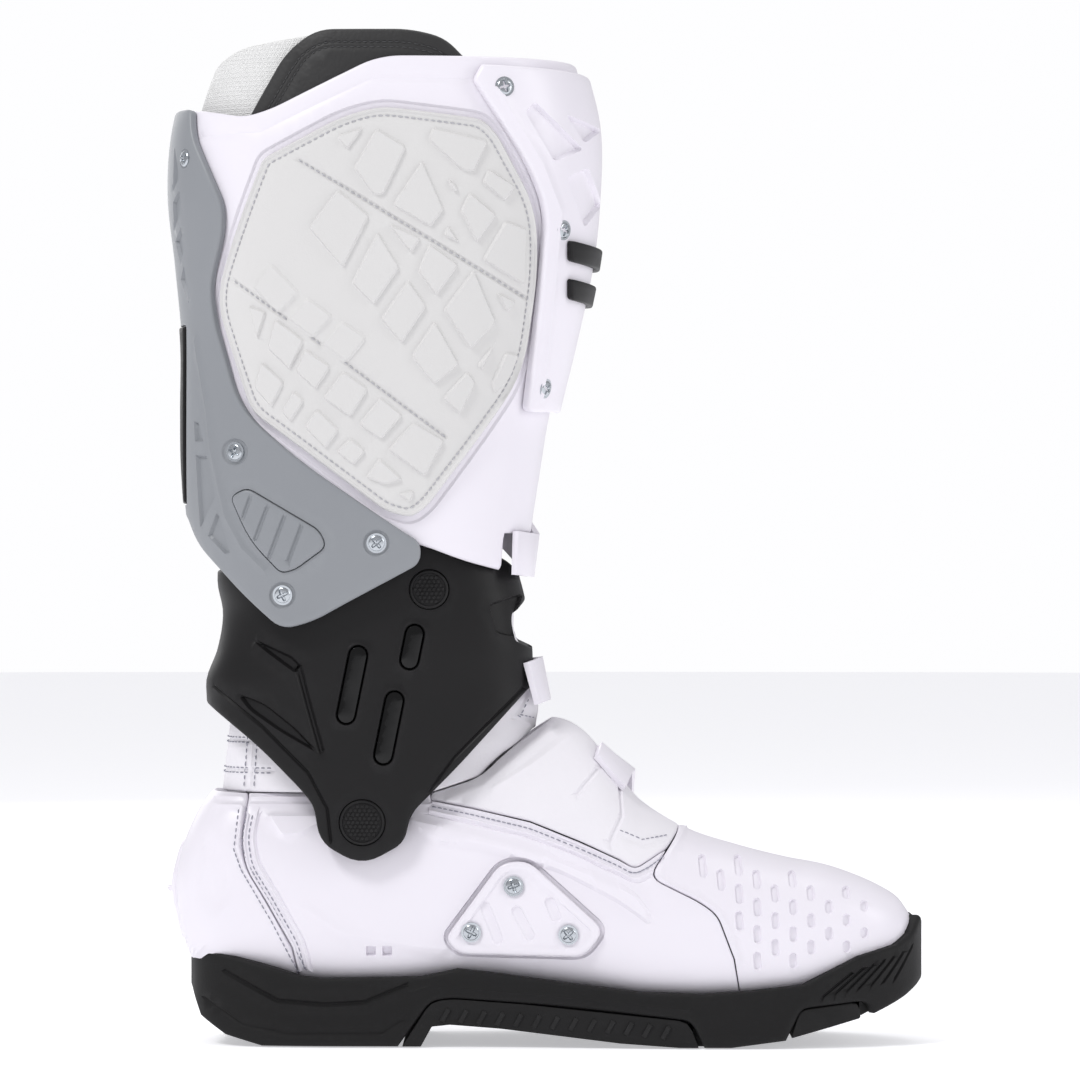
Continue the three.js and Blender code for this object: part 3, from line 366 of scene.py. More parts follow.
class Leg(Skin):
    """An upright body's skin. Its first point is at the back, or at the front; gap is the half
    width of an opening at the far side."""

    def __init__(self, rows, grow=0.0, first="back", gap=0.0):
        self.first, self.gap = first, gap
        start = math.pi if first == "back" else 0.0
        way = -1 if first == "back" else 1
        turns = start + way * np.linspace(0, 2 * math.pi, 721)[:-1]
        levels = np.arange(rows[0][0] - 30, rows[-1][0] + 31, 2.0)
        sections = []
        for z in levels:
            back, front, half, square = sample(rows, np.clip(z, rows[0][0], rows[-1][0]))[0]
            x = (front + back) / 2 + ((front - back) / 2 + grow) * rounded(np.cos(turns), square)
            y = (half + grow) * rounded(np.sin(turns), square)
            sections.append(np.stack([x, y, np.full(720, z)], 1))
        super().__init__(levels, sections, 290)

    def flat(self, x, z, side):
        def read(run, points):
            reach = run[-1]
            if self.gap:
                far = points[:, 0] > 20
                reach = np.interp(-self.gap, -np.abs(points[far, 1]), run[far])
            xs = points[:, 0] if self.first == "back" else points[::-1, 0]
            runs = run if self.first == "back" else run[::-1]
            return min(np.interp(x, np.maximum.accumulate(xs), runs), reach)

        return (side * self.between(z, read), z)

    def x_at(self, across, level):
        return self.look(self.table, np.atleast_1d(across), np.atleast_1d(level))[:, 0]


class Foot(Skin):
    """The foot body's skin; a section's first point is its top, and levels run heel to toe."""

    def __init__(self, grow=0.0):
        xs = np.concatenate([
            np.arange(HEEL_END, -60, 0.5), np.arange(-60, 205, 1.5),
            np.arange(205, TOE_END + 0.01, 0.5)
        ])
        turns = math.pi / 2 - np.linspace(0, 2 * math.pi, 721)[:-1]
        square = np.where(np.sin(turns) > 0, CROWN, BASE)
        at_toe = np.maximum(0, 1 - (TOE_END - xs) / END_REACH)
        at_heel = np.maximum(0, 1 - (xs - HEEL_END) / END_REACH)
        places = xs + grow * (at_toe - at_heel)
        sections, middles = [], []
        for x, place in zip(xs, places):
            low, high, half, shift = sample(FOOT, x)[0]
            middle = np.array([place, shift, (low + high) / 2])
            y = max(half + grow, 0.6) * rounded(np.cos(turns), square)
            z = max((high - low) / 2 + grow, 0.6) * rounded(np.sin(turns), square)
            sections.append(middle + np.stack([np.zeros(720), y, z], 1))
            middles.append(middle)
        ends = [0.85, 0.65, 0.45, 0.25, 0.03]

        def closing(section, middle, way):
            bulge = [np.array([way * 1.2 * math.sqrt(1 - k * k), 0, 0]) for k in ends]
            return [middle + (section - middle) * k + b for k, b in zip(ends, bulge)]

        heel = closing(sections[0], middles[0], -1)[::-1]
        toe = closing(sections[-1], middles[-1], 1)
        sections = heel + sections + toe
        wide = np.array([
            [s[:, 0].mean(), s[:, 1].max() - s[:, 1].min(), s[:, 2].max() - s[:, 2].min()]
            for s in sections
        ])
        steps = np.sqrt(np.diff(wide[:, 0]) ** 2 + (np.diff(wide[:, 1:], axis=0) ** 2).mean(1) / 4)
        levels = np.concatenate([[0], np.cumsum(steps)])
        self.xs = np.concatenate([places[0] - 0.01 * np.arange(5, 0, -1), places,
                                  places[-1] + 0.01 * np.arange(1, 6)])
        super().__init__(levels, sections, 150)

    def flat(self, x, z, side):
        level = np.interp(x, self.xs, self.levels)
        across = self.between(level, lambda run, points: np.interp(-z, -points[:, 2], run))
        return (side * across, level)


class Wall(Skin):
    """The sole's upright side wall; across starts at the back of the heel, level is height."""

    def __init__(self, grow=0.0):
        x = np.array([row[0] for row in PLAN], float)
        dense = np.concatenate([np.linspace(a, b, 24)[:-1] for a, b in zip(x, x[1:])] + [[x[-1]]])
        width = sample(PLAN, dense)[:, 0]
        shift = sample(FOOT, np.clip(dense, HEEL_END, TOE_END))[:, 3]
        far = np.stack([dense, shift + width], 1)
        near = np.stack([dense, shift - width], 1)[::-1]
        tip = [(x[-1] + 0.4, shift[-1])]
        loop = np.vstack([[(x[0] - 0.4, shift[0])], far, tip, near])
        loop = fine(loop, 2.0)
        loop = shifted(anticlockwise(loop), -grow)
        if loop[np.argmin(np.abs(loop[:, 0])), 1] > 0:
            loop = loop[::-1]
        begin = int(np.argmin(loop[:, 0]))
        loop = np.roll(loop, -begin, 0)
        if loop[5, 1] < loop[0, 1]:
            loop = np.roll(loop[::-1], 1, 0)
        levels = np.arange(-6, 60, 2.0)
        sections = [np.column_stack([loop, np.full(len(loop), z)]) for z in levels]
        super().__init__(levels, sections, 400)

    def flat(self, x, z, side):
        run, points = self.row(z)
        order = np.maximum.accumulate(points[:, 0])
        return (side * np.interp(x, order, run), z)


class HeelBack:
    """The heel's rear face, which closes the foot's skin: across is Y, level is height."""

    line = np.array([(40, -74.6), (44, -76), (48, -77.2), (58, -79.5), (63.5, -80.1), (69, -79.5),
                     (78, -77.2), (86, -74.4)])  # height, position
    bend = 40.0  # radius in plan

    def at(self, flat, height):
        x = np.interp(flat[:, 1], self.line[:, 0], self.line[:, 1])
        x += flat[:, 0] ** 2 / (2 * self.bend)
        return np.column_stack([x - height, flat[:, 0], flat[:, 1]])

    def normal(self, flat):
        return np.tile([-1.0, 0.0, 0.0], (len(flat), 1))


class Under:
    """The sole's underside: across is Y, level is X, and out points down."""

    line = np.array(SOLE_UNDER)

    def at(self, flat, height):
        z = np.interp(flat[:, 1], self.line[:, 0], self.line[:, 1])
        return np.column_stack([flat[:, 1], flat[:, 0], z - height])

    def normal(self, flat):
        return np.tile([0.0, 0.0, -1.0], (len(flat), 1))


def lay(skin, points, side=-1):
    """Side-view points as places on the unrolled skin, on one side of the boot."""
    return np.array([skin.flat(p[0], p[1], side) for p in points])


def lay_line(skin, line, side=-1):
    """An open side-view line on the unrolled skin, in short steps."""
    return lay(skin, fine(line, 2, False), side)


def one_side(skin, outline, side=-1, grow=0.0):
    """A closed side-view outline laid on one side of a skin."""
    line = fine(soft_corners(outline), 1.3)
    if grow:
        line = shifted(anticlockwise(line), -grow)
    return anticlockwise(fine(lay(skin, line, side)))


def both_sides(skin, chain, grow=0.0):
    """A chain from middle line to middle line in the side view, mirrored into a closed loop."""
    line = fine(soft_corners(chain, closed=False), 1.3, closed=False)
    if grow:
        line = shifted(line, grow, closed=False)
    near, far = lay(skin, line, -1), lay(skin, line, 1)
    away = np.flatnonzero(np.abs(near[:, 0]) > 0.05)  # the rest lies on the middle line
    kept = slice(max(away[0] - 1, 0), away[-1] + 2)
    return anticlockwise(fine(np.vstack([near[kept], far[kept][::-1]])))


# ---- panels ----


class Relief:
    """A raised shape on a panel, or a sunk one where height is negative, with sloping sides.
    An open line stands for a strip of the given width."""

    def __init__(self, line, height, slope=0.9, width=None):
        self.closed = width is None
        self.line = anticlockwise(np.asarray(line)) if self.closed else np.asarray(line)
        self.height, self.width = height, width
        self.slope = slope if self.closed else min(slope, width / 2)
        self.low = self.line.min(0) - (width or 0) - 0.1
        self.high = self.line.max(0) + (width or 0) + 0.1

    def heights(self, points):
        made = np.zeros(len(points))
        near = np.all((points > self.low) & (points < self.high), axis=1)
        if near.any():
            some = points[near]
            away = distance(some, self.line, self.closed)
            if self.closed:
                depth = np.where(inside(some, self.line), away, -away)
            else:
                depth = self.width / 2 - away
            t = np.clip(depth / self.slope, 0, 1)
            made[near] = self.height * t * t * (3 - 2 * t)
        return made

    def rings(self):
        """Lines that the panel's mesh follows, so that the shape has clean edges."""
        if self.closed:
            return [(self.line, True), (shifted(self.line, self.slope), True)]
        offsets = {self.width / 2, -self.width / 2}
        offsets |= {self.width / 2 - self.slope, self.slope - self.width / 2}
        return [(shifted(self.line, o, False), False) for o in offsets]


class Part:
    """Corners, faces and flat places of a closed shape, in millimetres."""

    def __init__(self, corners, faces, flat=None):
        self.corners, self.faces = np.asarray(corners), faces
        self.flat = np.zeros((len(corners), 2)) if flat is None else flat


EDGE_ROWS = (0.12, 0.45, 1.0)  # rows of points over a rounded edge, as shares of its width
SIX_WAY = 0.866  # how far apart the rows of a six-way grid are, for points one apart


def panel(skin, loop, floor, top, edge=0.8, relief=(), step=3.2, holes=(), rise=None, seam=None):
    """A closed wall that follows a skin inside a loop, between two heights, with its outer edge
    rounded and its relief raised. seam is the across place that closes on itself, if any."""
    loop = anticlockwise(loop)
    spots, edges = [], []

    def put(line, closed, good):
        """Adds the good points of a line, and its edges between them."""
        place = np.cumsum(good) - 1 + len(spots)
        spots.extend(line[good].tolist())
        for i in range(len(line) if closed else len(line) - 1):
            j = (i + 1) % len(line)
            if good[i] and good[j]:
                edges.append((int(place[i]), int(place[j])))

    for rim in (loop, *holes):
        put(rim, True, np.ones(len(rim), bool))
    for share in EDGE_ROWS:
        depth = edge * share
        moved = shifted(loop, depth)
        put(moved, True, inside(moved, loop) & (distance(moved, loop) > depth * 0.9))
    lines = []
    for shape in relief:
        for ring, closed in shape.rings():
            ring = fine(ring, 2.2, closed)
            put(ring, closed, inside(ring, loop) & (distance(ring, loop) > edge * 0.9))
            lines.append((ring, closed))
    low, high = loop.min(0), loop.max(0)
    us = np.arange(low[0], high[0] + step, step)
    vs = np.arange(low[1], high[1] + step, step * SIX_WAY)
    grid = np.array([(u + (k % 2) * step / 2, v) for k, v in enumerate(vs) for u in us])
    grid = grid[inside(grid, loop)]
    grid = grid[distance(grid, loop) > edge + 0.4 * step]
    for ring, closed in lines:
        near = np.all((grid > ring.min(0) - step) & (grid < ring.max(0) + step), axis=1)
        if near.any():
            away = np.full(len(grid), 1e9)
            away[near] = distance(grid[near], ring, closed)
            grid = grid[away > 0.35 * step]
    spots.extend(grid.tolist())

    found = delaunay_2d_cdt([Vector(p) for p in spots], edges, [], 1, 1e-4, False)
    flat = np.array([tuple(p) for p in found[0]])
    tris = np.array([f for f in found[2] if len(f) == 3])
    centres = flat[tris].mean(1)
    keep = inside(centres, loop)
    for hole in holes:
        keep &= ~inside(centres, hole)
    tris = tris[keep]
    a, b, c = (flat[tris[:, k]] for k in range(3))
    turn = (b[:, 0] - a[:, 0]) * (c[:, 1] - a[:, 1]) - (b[:, 1] - a[:, 1]) * (c[:, 0] - a[:, 0])
    tris = tris[np.abs(turn) > 1e-5]
    turn = turn[np.abs(turn) > 1e-5]
    tris[turn < 0] = tris[turn < 0][:, ::-1]
    used = np.unique(tris)
    remap = np.full(len(flat), -1)
    remap[used] = np.arange(len(used))
    flat, tris = flat[used], remap[tris]

    height = np.full(len(flat), float(top))
    rims = [loop, *holes]
    away = np.min([distance(flat, rim) for rim in rims], axis=0)
    near = away < edge
    height[near] += np.sqrt(np.maximum(edge**2 - (edge - away[near]) ** 2, 0)) - edge
    if rise is not None:
        height += rise(flat, away)
    for shape in relief:
        height += shape.heights(flat)
    front = skin.at(flat, height)
    back = skin.at(flat, np.full(len(flat), float(floor)))
    n = len(flat)
    p, q, r = (front[tris[:, k]] for k in range(3))
    facing = (np.cross(q - p, r - p) * skin.normal(flat[tris].mean(1))).sum(1)
    if np.median(facing) < 0:
        tris = tris[:, ::-1]
    pairs = np.vstack([tris[:, [0, 1]], tris[:, [1, 2]], tris[:, [2, 0]]])
    keys = np.sort(pairs, axis=1)
    _, index, count = np.unique(keys, axis=0, return_index=True, return_counts=True)
    rim = pairs[index[count == 1]]
    faces = [tuple(t) for t in tris.tolist()]
    faces += [tuple(t) for t in (tris[:, ::-1] + n).tolist()]
    if seam is not None:
        at_seam = np.abs(np.abs(flat[:, 0]) - seam(flat[:, 1])) < 0.02
        rim = rim[~(at_seam[rim[:, 0]] & at_seam[rim[:, 1]])]
    faces += [(int(j), int(i), int(i) + n, int(j) + n) for i, j in rim]
    return Part(np.vstack([front, back]), faces, np.vstack([flat, flat]))


def turned(profile, centre, out, sides=40):
    """A closed round piece: radius and height pairs, turned about an axis."""
    out = Vector(out).normalized()
    side = out.orthogonal().normalized()
    up = out.cross(side)
    corners, faces = [], []
    for radius, height in profile:
        for k in range(sides):
            a = 2 * math.pi * k / sides
            spot = Vector(centre) + side * (radius * math.cos(a)) + up * (radius * math.sin(a))
            corners.append(tuple(spot + out * height))
    rows = len(profile)
    for i in range(rows - 1):
        for k in range(sides):
            j = (k + 1) % sides
            faces.append((i * sides + k, i * sides + j, (i + 1) * sides + j, (i + 1) * sides + k))
    faces.append(tuple(range(sides - 1, -1, -1)))
    faces.append(tuple((rows - 1) * sides + k for k in range(sides)))
    return Part(corners, faces)


# ---- finishes ----


def linear(colour):
    """A colour seen on a screen, as the shader wants it."""
    return tuple(c / 12.92 if c <= 0.04045 else ((c + 0.055) / 1.055) ** 2.4 for c in colour) + (1,)


class Tree:
    """A node tree that is filled a node at a time."""

    def __init__(self, tree):
        self.tree = tree

    def node(self, kind, inputs=(), **settings):
        made = self.tree.nodes.new(kind)
        for key, value in settings.items():
            setattr(made, key, value)
        for key, value in dict(inputs).items():
            if isinstance(value, bpy.types.NodeSocket):
                self.tree.links.new(value, made.inputs[key])
            else:
                made.inputs[key].default_value = value
        return made

    def maths(self, operation, a, b=0.0):
        return self.node("ShaderNodeMath", {0: a, 1: b}, operation=operation).outputs[0]


def effect(name, inputs, outputs):
    """An empty shader group with named inputs and outputs."""
    made = bpy.data.node_groups.new(name, "ShaderNodeTree")
    for key, kind, value in inputs:
        socket = made.interface.new_socket(key, in_out="INPUT", socket_type=kind)
        if value is not None:
            socket.default_value = value
    for key in outputs:
        made.interface.new_socket(key, in_out="OUTPUT", socket_type="NodeSocketFloat")
    tree = Tree(made)
    return tree, made.nodes.new("NodeGroupInput"), made.nodes.new("NodeGroupOutput")


FLOAT, PLACE = "NodeSocketFloat", "NodeSocketVector"


def moulded_grain():
    """Fine texture of a moulded face, and slow patches that shift its shade."""
    tree, come, go = effect("moulded_grain", [("Place", PLACE, None), ("Scale", FLOAT, 900.0)],
                            ["Height", "Patches"])
    place, scale = come.outputs["Place"], come.outputs["Scale"]
    fine_noise = tree.node("ShaderNodeTexNoise",
                           {"Vector": place, "Scale": scale, "Detail": 4.0, "Roughness": 0.6})
    slow = tree.node("ShaderNodeTexNoise", {"Vector": place, "Scale": 22.0, "Detail": 3.0})
    tree.tree.links.new(fine_noise.outputs[0], go.inputs["Height"])
    tree.tree.links.new(slow.outputs[0], go.inputs["Patches"])
    return tree.tree


def pebble_grain():
    """Small rounded cells, as on leather and on grained rubber."""
    tree, come, go = effect("pebble_grain", [("Place", PLACE, None), ("Scale", FLOAT, 700.0)],
                            ["Height", "Patches"])
    place, scale = come.outputs["Place"], come.outputs["Scale"]
    bend = tree.node("ShaderNodeTexNoise", {"Vector": place, "Scale": 160.0, "Detail": 2.0})
    bent = tree.node("ShaderNodeVectorMath", {0: bend.outputs["Color"], 1: (0.004, 0.004, 0.004)},
                     operation="MULTIPLY")
    moved = tree.node("ShaderNodeVectorMath", {0: place, 1: bent.outputs[0]}, operation="ADD")
    cells = tree.node("ShaderNodeTexVoronoi", {"Vector": moved.outputs[0], "Scale": scale},
                      feature="SMOOTH_F1")
    slow = tree.node("ShaderNodeTexNoise", {"Vector": place, "Scale": 30.0, "Detail": 4.0})
    height = tree.maths("SUBTRACT", 1.0, cells.outputs["Distance"])
    tree.tree.links.new(height, go.inputs["Height"])
    tree.tree.links.new(slow.outputs[0], go.inputs["Patches"])
    return tree.tree


def woven_cloth():
    """Crossing threads, laid along the cloth's own flat coordinates."""
    tree, come, go = effect("woven_cloth", [("Place", PLACE, None), ("Pitch", FLOAT, 0.0012),
                                            ("Slant", FLOAT, 0.0)], ["Height", "Patches"])
    parts = tree.node("ShaderNodeSeparateXYZ", {0: come.outputs["Place"]})
    slanted = tree.maths("MULTIPLY", parts.outputs[1], come.outputs["Slant"])
    turn = tree.maths("DIVIDE", 2 * math.pi, come.outputs["Pitch"])
    u = tree.maths("MULTIPLY", tree.maths("ADD", parts.outputs[0], slanted), turn)
    v = tree.maths("MULTIPLY", parts.outputs[1], turn)
    half_u, half_v = tree.maths("MULTIPLY", u, 0.5), tree.maths("MULTIPLY", v, 0.5)
    over = tree.maths("ABSOLUTE", tree.maths("SINE", u))
    under = tree.maths("ABSOLUTE", tree.maths("SINE", v))
    turns = tree.maths("MULTIPLY", tree.maths("SINE", half_u), tree.maths("SINE", half_v))
    first = tree.maths("MULTIPLY", over, tree.maths("ADD", 0.6, turns))
    second = tree.maths("MULTIPLY", under, tree.maths("SUBTRACT", 0.6, turns))
    slow = tree.node("ShaderNodeTexNoise", {"Vector": come.outputs["Place"], "Scale": 60.0})
    tree.tree.links.new(tree.maths("MAXIMUM", first, second), go.inputs["Height"])
    tree.tree.links.new(slow.outputs[0], go.inputs["Patches"])
    return tree.tree


def handled_edges():
    """Where a raised edge has been rubbed, broken up by noise."""
    tree, come, go = effect("handled_edges", [("Place", PLACE, None), ("Reach", FLOAT, 0.05)],
                            ["Mask"])
    sharp = tree.node("ShaderNodeNewGeometry").outputs["Pointiness"]
    high = tree.maths("DIVIDE", tree.maths("SUBTRACT", sharp, 0.51), come.outputs["Reach"])
    noise = tree.node("ShaderNodeTexNoise", {"Vector": come.outputs["Place"], "Scale": 140.0,
                                             "Detail": 5.0})
    broken = tree.node("ShaderNodeMath", {0: high, 1: noise.outputs[0]}, operation="MULTIPLY",
                       use_clamp=True)
    tree.tree.links.new(broken.outputs[0], go.inputs["Mask"])
    return tree.tree


GRAINS = {"moulded": moulded_grain(), "pebble": pebble_grain(), "woven": woven_cloth()}
EDGES = handled_edges()


def finish(name, colour, rough, grain="moulded", scale=900.0, depth=0.00004, patch=0.05,
           worn=0.0, metal=0.0, sheen=0.0, slant=0.0, shade=0.0, specular=0.5):
    """A finish made of one grain effect, slow patches, rubbed edges and, where shade is given, painted
    shade darkening the grain's low parts.
    """
    made = bpy.data.materials.new(name)
    made.use_nodes = True
    tree = Tree(made.node_tree)
    shader = made.node_tree.nodes["Principled BSDF"]
    if grain == "woven":
        place = tree.node("ShaderNodeUVMap", uv_map="cloth").outputs[0]
    else:
        place = tree.node("ShaderNodeTexCoord").outputs["Object"]
    texture = tree.node("ShaderNodeGroup", node_tree=GRAINS[grain])
    tree.tree.links.new(place, texture.inputs["Place"])
    if grain == "woven":
        texture.inputs["Pitch"].default_value = scale
        texture.inputs["Slant"].default_value = slant
    else:
        texture.inputs["Scale"].default_value = scale
    height, patches = texture.outputs["Height"], texture.outputs["Patches"]
    base = linear(colour)
    dark = tuple(c * (1 - patch) for c in base[:3]) + (1,)
    tone = tree.node("ShaderNodeMix", {0: patches, 6: dark, 7: base}, data_type="RGBA")
    out = tone.outputs[2]
    # painted shade: where shade is given, the grain's low parts are darkened towards low, as if shade
    # fell in them
    if shade:
        low = tuple(c * (1 - shade) for c in base[:3]) + (1,)
        painted_pit_shade = tree.node("ShaderNodeMix", {0: height, 6: low, 7: out}, data_type="RGBA")
        out = painted_pit_shade.outputs[2]
    if worn:
        rubbed = tree.node("ShaderNodeGroup", {"Reach": 0.06}, node_tree=EDGES)
        tree.tree.links.new(place, rubbed.inputs["Place"])
        amount = tree.maths("MULTIPLY", rubbed.outputs["Mask"], worn)
        light = tuple(min(1, c + 0.25) for c in base[:3]) + (1,)
        out = tree.node("ShaderNodeMix", {0: amount, 6: out, 7: light}, data_type="RGBA").outputs[2]
    tree.tree.links.new(out, shader.inputs["Base Color"])
    uneven = tree.maths("MULTIPLY", tree.maths("SUBTRACT", patches, 0.5), 0.16)
    tree.tree.links.new(tree.maths("ADD", rough, uneven), shader.inputs["Roughness"])
    bump = tree.node("ShaderNodeBump", {"Height": height, "Strength": 0.6, "Distance": depth})
    tree.tree.links.new(bump.outputs[0], shader.inputs["Normal"])
    shader.inputs["Metallic"].default_value = metal
    shader.inputs["Sheen Weight"].default_value = sheen
    shader.inputs["Specular IOR Level"].default_value = specular
    return made


WHITE = (0.915, 0.900, 0.930)
looks = {
    "white_plastic": finish("white_plastic", WHITE, 0.36, depth=0.00002, patch=0.03),
    "white_leather": finish("white_leather", (0.915, 0.905, 0.925), 0.55, "pebble", 820.0, 0.00012,
                            0.06),
    "grey_plastic": finish("grey_plastic", (0.54, 0.552, 0.57), 0.44, depth=0.00004, patch=0.05,
                           scale=1500.0, worn=0.1),
    "black_plastic": finish("black_plastic", (0.085, 0.082, 0.086), 0.46, depth=0.00005,
                            scale=1600.0, patch=0.12, worn=0.03, specular=0.24),
    "gloss_black": finish("gloss_black", (0.02, 0.02, 0.022), 0.1, depth=0.00001, patch=0.1,
                          specular=0.3),
    "black_rubber": finish("black_rubber", (0.09, 0.088, 0.09), 0.62, "pebble", 1500.0, 0.00008,
                           0.14, worn=0.04, specular=0.22),
    "pad_rubber": finish("pad_rubber", (0.83, 0.826, 0.822), 0.58, "pebble", 1900.0, 0.00006,
                         0.03),
    "black_fabric": finish("black_fabric", (0.13, 0.13, 0.135), 0.85, "woven", 0.0011, 0.0003,
                           0.12, sheen=0.3),
    "black_leather": finish("black_leather", (0.125, 0.123, 0.125), 0.58, "pebble", 620.0, 0.00022,
                            0.12, sheen=0.15),
    # white knit, with painted shade in the low parts of its weave
    "white_knit": finish("white_knit", (0.92, 0.92, 0.915), 0.9, "woven", 0.0019, 0.0006, 0.05,
                         sheen=0.4, slant=0.5, shade=0.08),
    "steel": finish("steel", (0.76, 0.78, 0.80), 0.26, depth=0.00003, scale=1200.0, patch=0.2,
                    metal=1.0),
    "nylon": finish("nylon", (0.22, 0.22, 0.225), 0.6, patch=0.1),
    "white_thread": finish("white_thread", (0.72, 0.72, 0.74), 0.7, scale=4000.0, patch=0.12),
    "black_thread": finish("black_thread", (0.26, 0.26, 0.265), 0.7, scale=4000.0, patch=0.12),
    "grey_thread": finish("grey_thread", (0.58, 0.58, 0.63), 0.7, scale=4000.0, patch=0.12),
}

# ---- pieces ----

# A fold steeper than this many degrees stays sharp: on a piece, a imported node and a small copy.
PIECE_FOLD, NODE_FOLD, COPY_FOLD = 38, 40, 50


def settle(obj, body, nodes=()):
    """Gives a finished piece the body it moves with, where one is named, or else bakes its place into
    its mesh; and hides the nodes it stands for.
    """
    if isinstance(body, str):
        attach(obj, body)
    else:
        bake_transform(obj)
    if nodes:
        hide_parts(*nodes)
    return obj


def piece(name, parts, look, body, nodes=(), weld=0.0):
    """Joins parts into one named piece."""
    corners, faces, flats, first = [], [], [], 0
    for part in parts:
        corners.append(part.corners)
        flats.append(part.flat)
        faces += [tuple(i + first for i in face) for face in part.faces]
        first += len(part.corners)
    mesh = bpy.data.meshes.new(name)
    mesh.from_pydata((np.vstack(corners) * MM).tolist(), [], faces)
    flat = np.vstack(flats) * MM
    layer = mesh.uv_layers.new(name="cloth")
    index = np.zeros(len(mesh.loops), int)
    mesh.loops.foreach_get("vertex_index", index)
    layer.data.foreach_set("uv", flat[index].astype(np.float32).ravel())
    if weld:
        work = bmesh.new()
        work.from_mesh(mesh)
        bmesh.ops.remove_doubles(work, verts=work.verts, dist=weld * MM)
        work.to_mesh(mesh)
        work.free()
    mesh.materials.append(looks[look])
    mesh.shade_smooth()
    mesh.set_sharp_from_angle(angle=math.radians(PIECE_FOLD))
    mesh.validate()
    made = bpy.data.objects.new(name, mesh)
    bpy.context.scene.collection.objects.link(made)
    return settle(made, body, nodes)


def plain_mesh(obj):
    """What an object's modifiers make of it, as a mesh of its own."""
    bpy.context.view_layer.update()
    seen = obj.evaluated_get(bpy.context.evaluated_depsgraph_get())
    return bpy.data.meshes.new_from_object(seen)


def softened(node, name, look, width=0.5):
    """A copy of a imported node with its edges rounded, standing for it."""
    source = frame["nodes"][node]
    mesh = source.data.copy()
    work = bmesh.new()
    work.from_mesh(mesh)
    bmesh.ops.remove_doubles(work, verts=work.verts, dist=0.00003)
    bmesh.ops.dissolve_limit(work, angle_limit=math.radians(2), verts=work.verts, edges=work.edges)
    work.to_mesh(mesh)
    work.free()
    draft = bpy.data.objects.new(name, mesh)
    bpy.context.scene.collection.objects.link(draft)
    bevel = draft.modifiers.new("edges", "BEVEL")
    bevel.width = width * MM
    bevel.segments = 2
    bevel.limit_method = "ANGLE"
    bevel.angle_limit = math.radians(30)
    made_mesh = plain_mesh(draft)
    draft.modifiers.clear()
    draft.data = made_mesh
    made_mesh.materials.clear()
    made_mesh.materials.append(looks[look])
    made_mesh.shade_smooth()
    made_mesh.set_sharp_from_angle(angle=math.radians(NODE_FOLD))
    return settle(draft, source["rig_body"], [node])


def dress(node, look):
    """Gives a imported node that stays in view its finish."""
    mesh = frame["nodes"][node].data
    mesh.materials.clear()
    mesh.materials.append(looks[look])


# ---- what repeats: stitches, screws, dots and ribs ----


def copies_tree():
    """Puts one small shape at every point, facing out and running along, at a given size."""
    tree = Tree(bpy.data.node_groups.new("set_copies", "GeometryNodeTree"))
    face = tree.tree.interface
    face.new_socket("Geometry", in_out="INPUT", socket_type="NodeSocketGeometry")
    face.new_socket("Copy", in_out="INPUT", socket_type="NodeSocketObject")
    for key in ("Length", "Width", "Height"):
        socket = face.new_socket(key, in_out="INPUT", socket_type="NodeSocketFloat")
        socket.default_value = 0.001
    face.new_socket("Unevenness", in_out="INPUT", socket_type="NodeSocketFloat")
    face.new_socket("Seed", in_out="INPUT", socket_type="NodeSocketInt")
    face.new_socket("Finish", in_out="INPUT", socket_type="NodeSocketMaterial")
    face.new_socket("Geometry", in_out="OUTPUT", socket_type="NodeSocketGeometry")
    come = tree.tree.nodes.new("NodeGroupInput").outputs
    go = tree.tree.nodes.new("NodeGroupOutput")
    facing = tree.node("GeometryNodeInputNamedAttribute", {0: "facing"}, data_type="FLOAT_VECTOR")
    along = tree.node("GeometryNodeInputNamedAttribute", {0: "along"}, data_type="FLOAT_VECTOR")
    stood = tree.node("FunctionNodeAlignRotationToVector", {"Vector": facing.outputs[0]}, axis="Z")
    aimed = tree.node("FunctionNodeAlignRotationToVector",
                      {"Rotation": stood.outputs[0], "Vector": along.outputs[0]}, axis="X",
                      pivot_axis="Z")
    size = tree.node("ShaderNodeCombineXYZ",
                     {0: come["Length"], 1: come["Width"], 2: come["Height"]})
    low = tree.maths("SUBTRACT", 1.0, come["Unevenness"])
    high = tree.maths("ADD", 1.0, come["Unevenness"])
    vary = tree.node("FunctionNodeRandomValue", data_type="FLOAT")
    tree.tree.links.new(low, vary.inputs[2])
    tree.tree.links.new(high, vary.inputs[3])
    tree.tree.links.new(come["Seed"], vary.inputs["Seed"])
    scaled = tree.node("ShaderNodeVectorMath", {0: size.outputs[0]}, operation="SCALE")
    tree.tree.links.new(vary.outputs[1], scaled.inputs["Scale"])
    shape = tree.node("GeometryNodeObjectInfo", {"Object": come["Copy"]})
    placed = tree.node("GeometryNodeInstanceOnPoints", {
        "Points": come["Geometry"], "Instance": shape.outputs["Geometry"],
        "Rotation": aimed.outputs[0], "Scale": scaled.outputs[0],
    })
    real = tree.node("GeometryNodeRealizeInstances", {0: placed.outputs[0]})
    coloured = tree.node("GeometryNodeSetMaterial", {0: real.outputs[0]})
    tree.tree.links.new(come["Finish"], coloured.inputs["Material"])
    tree.tree.links.new(coloured.outputs[0], go.inputs[0])
    return tree.tree


COPIES = copies_tree()


def shape_object(name, part):
    """A small shape to be copied, one unit long, wide and high."""
    mesh = bpy.data.meshes.new(name)
    mesh.from_pydata([tuple(c) for c in part.corners], [], part.faces)
    mesh.shade_smooth()
    mesh.set_sharp_from_angle(angle=math.radians(COPY_FOLD))
    made = bpy.data.objects.new(name, mesh)
    bpy.context.scene.collection.objects.link(made)
    return made


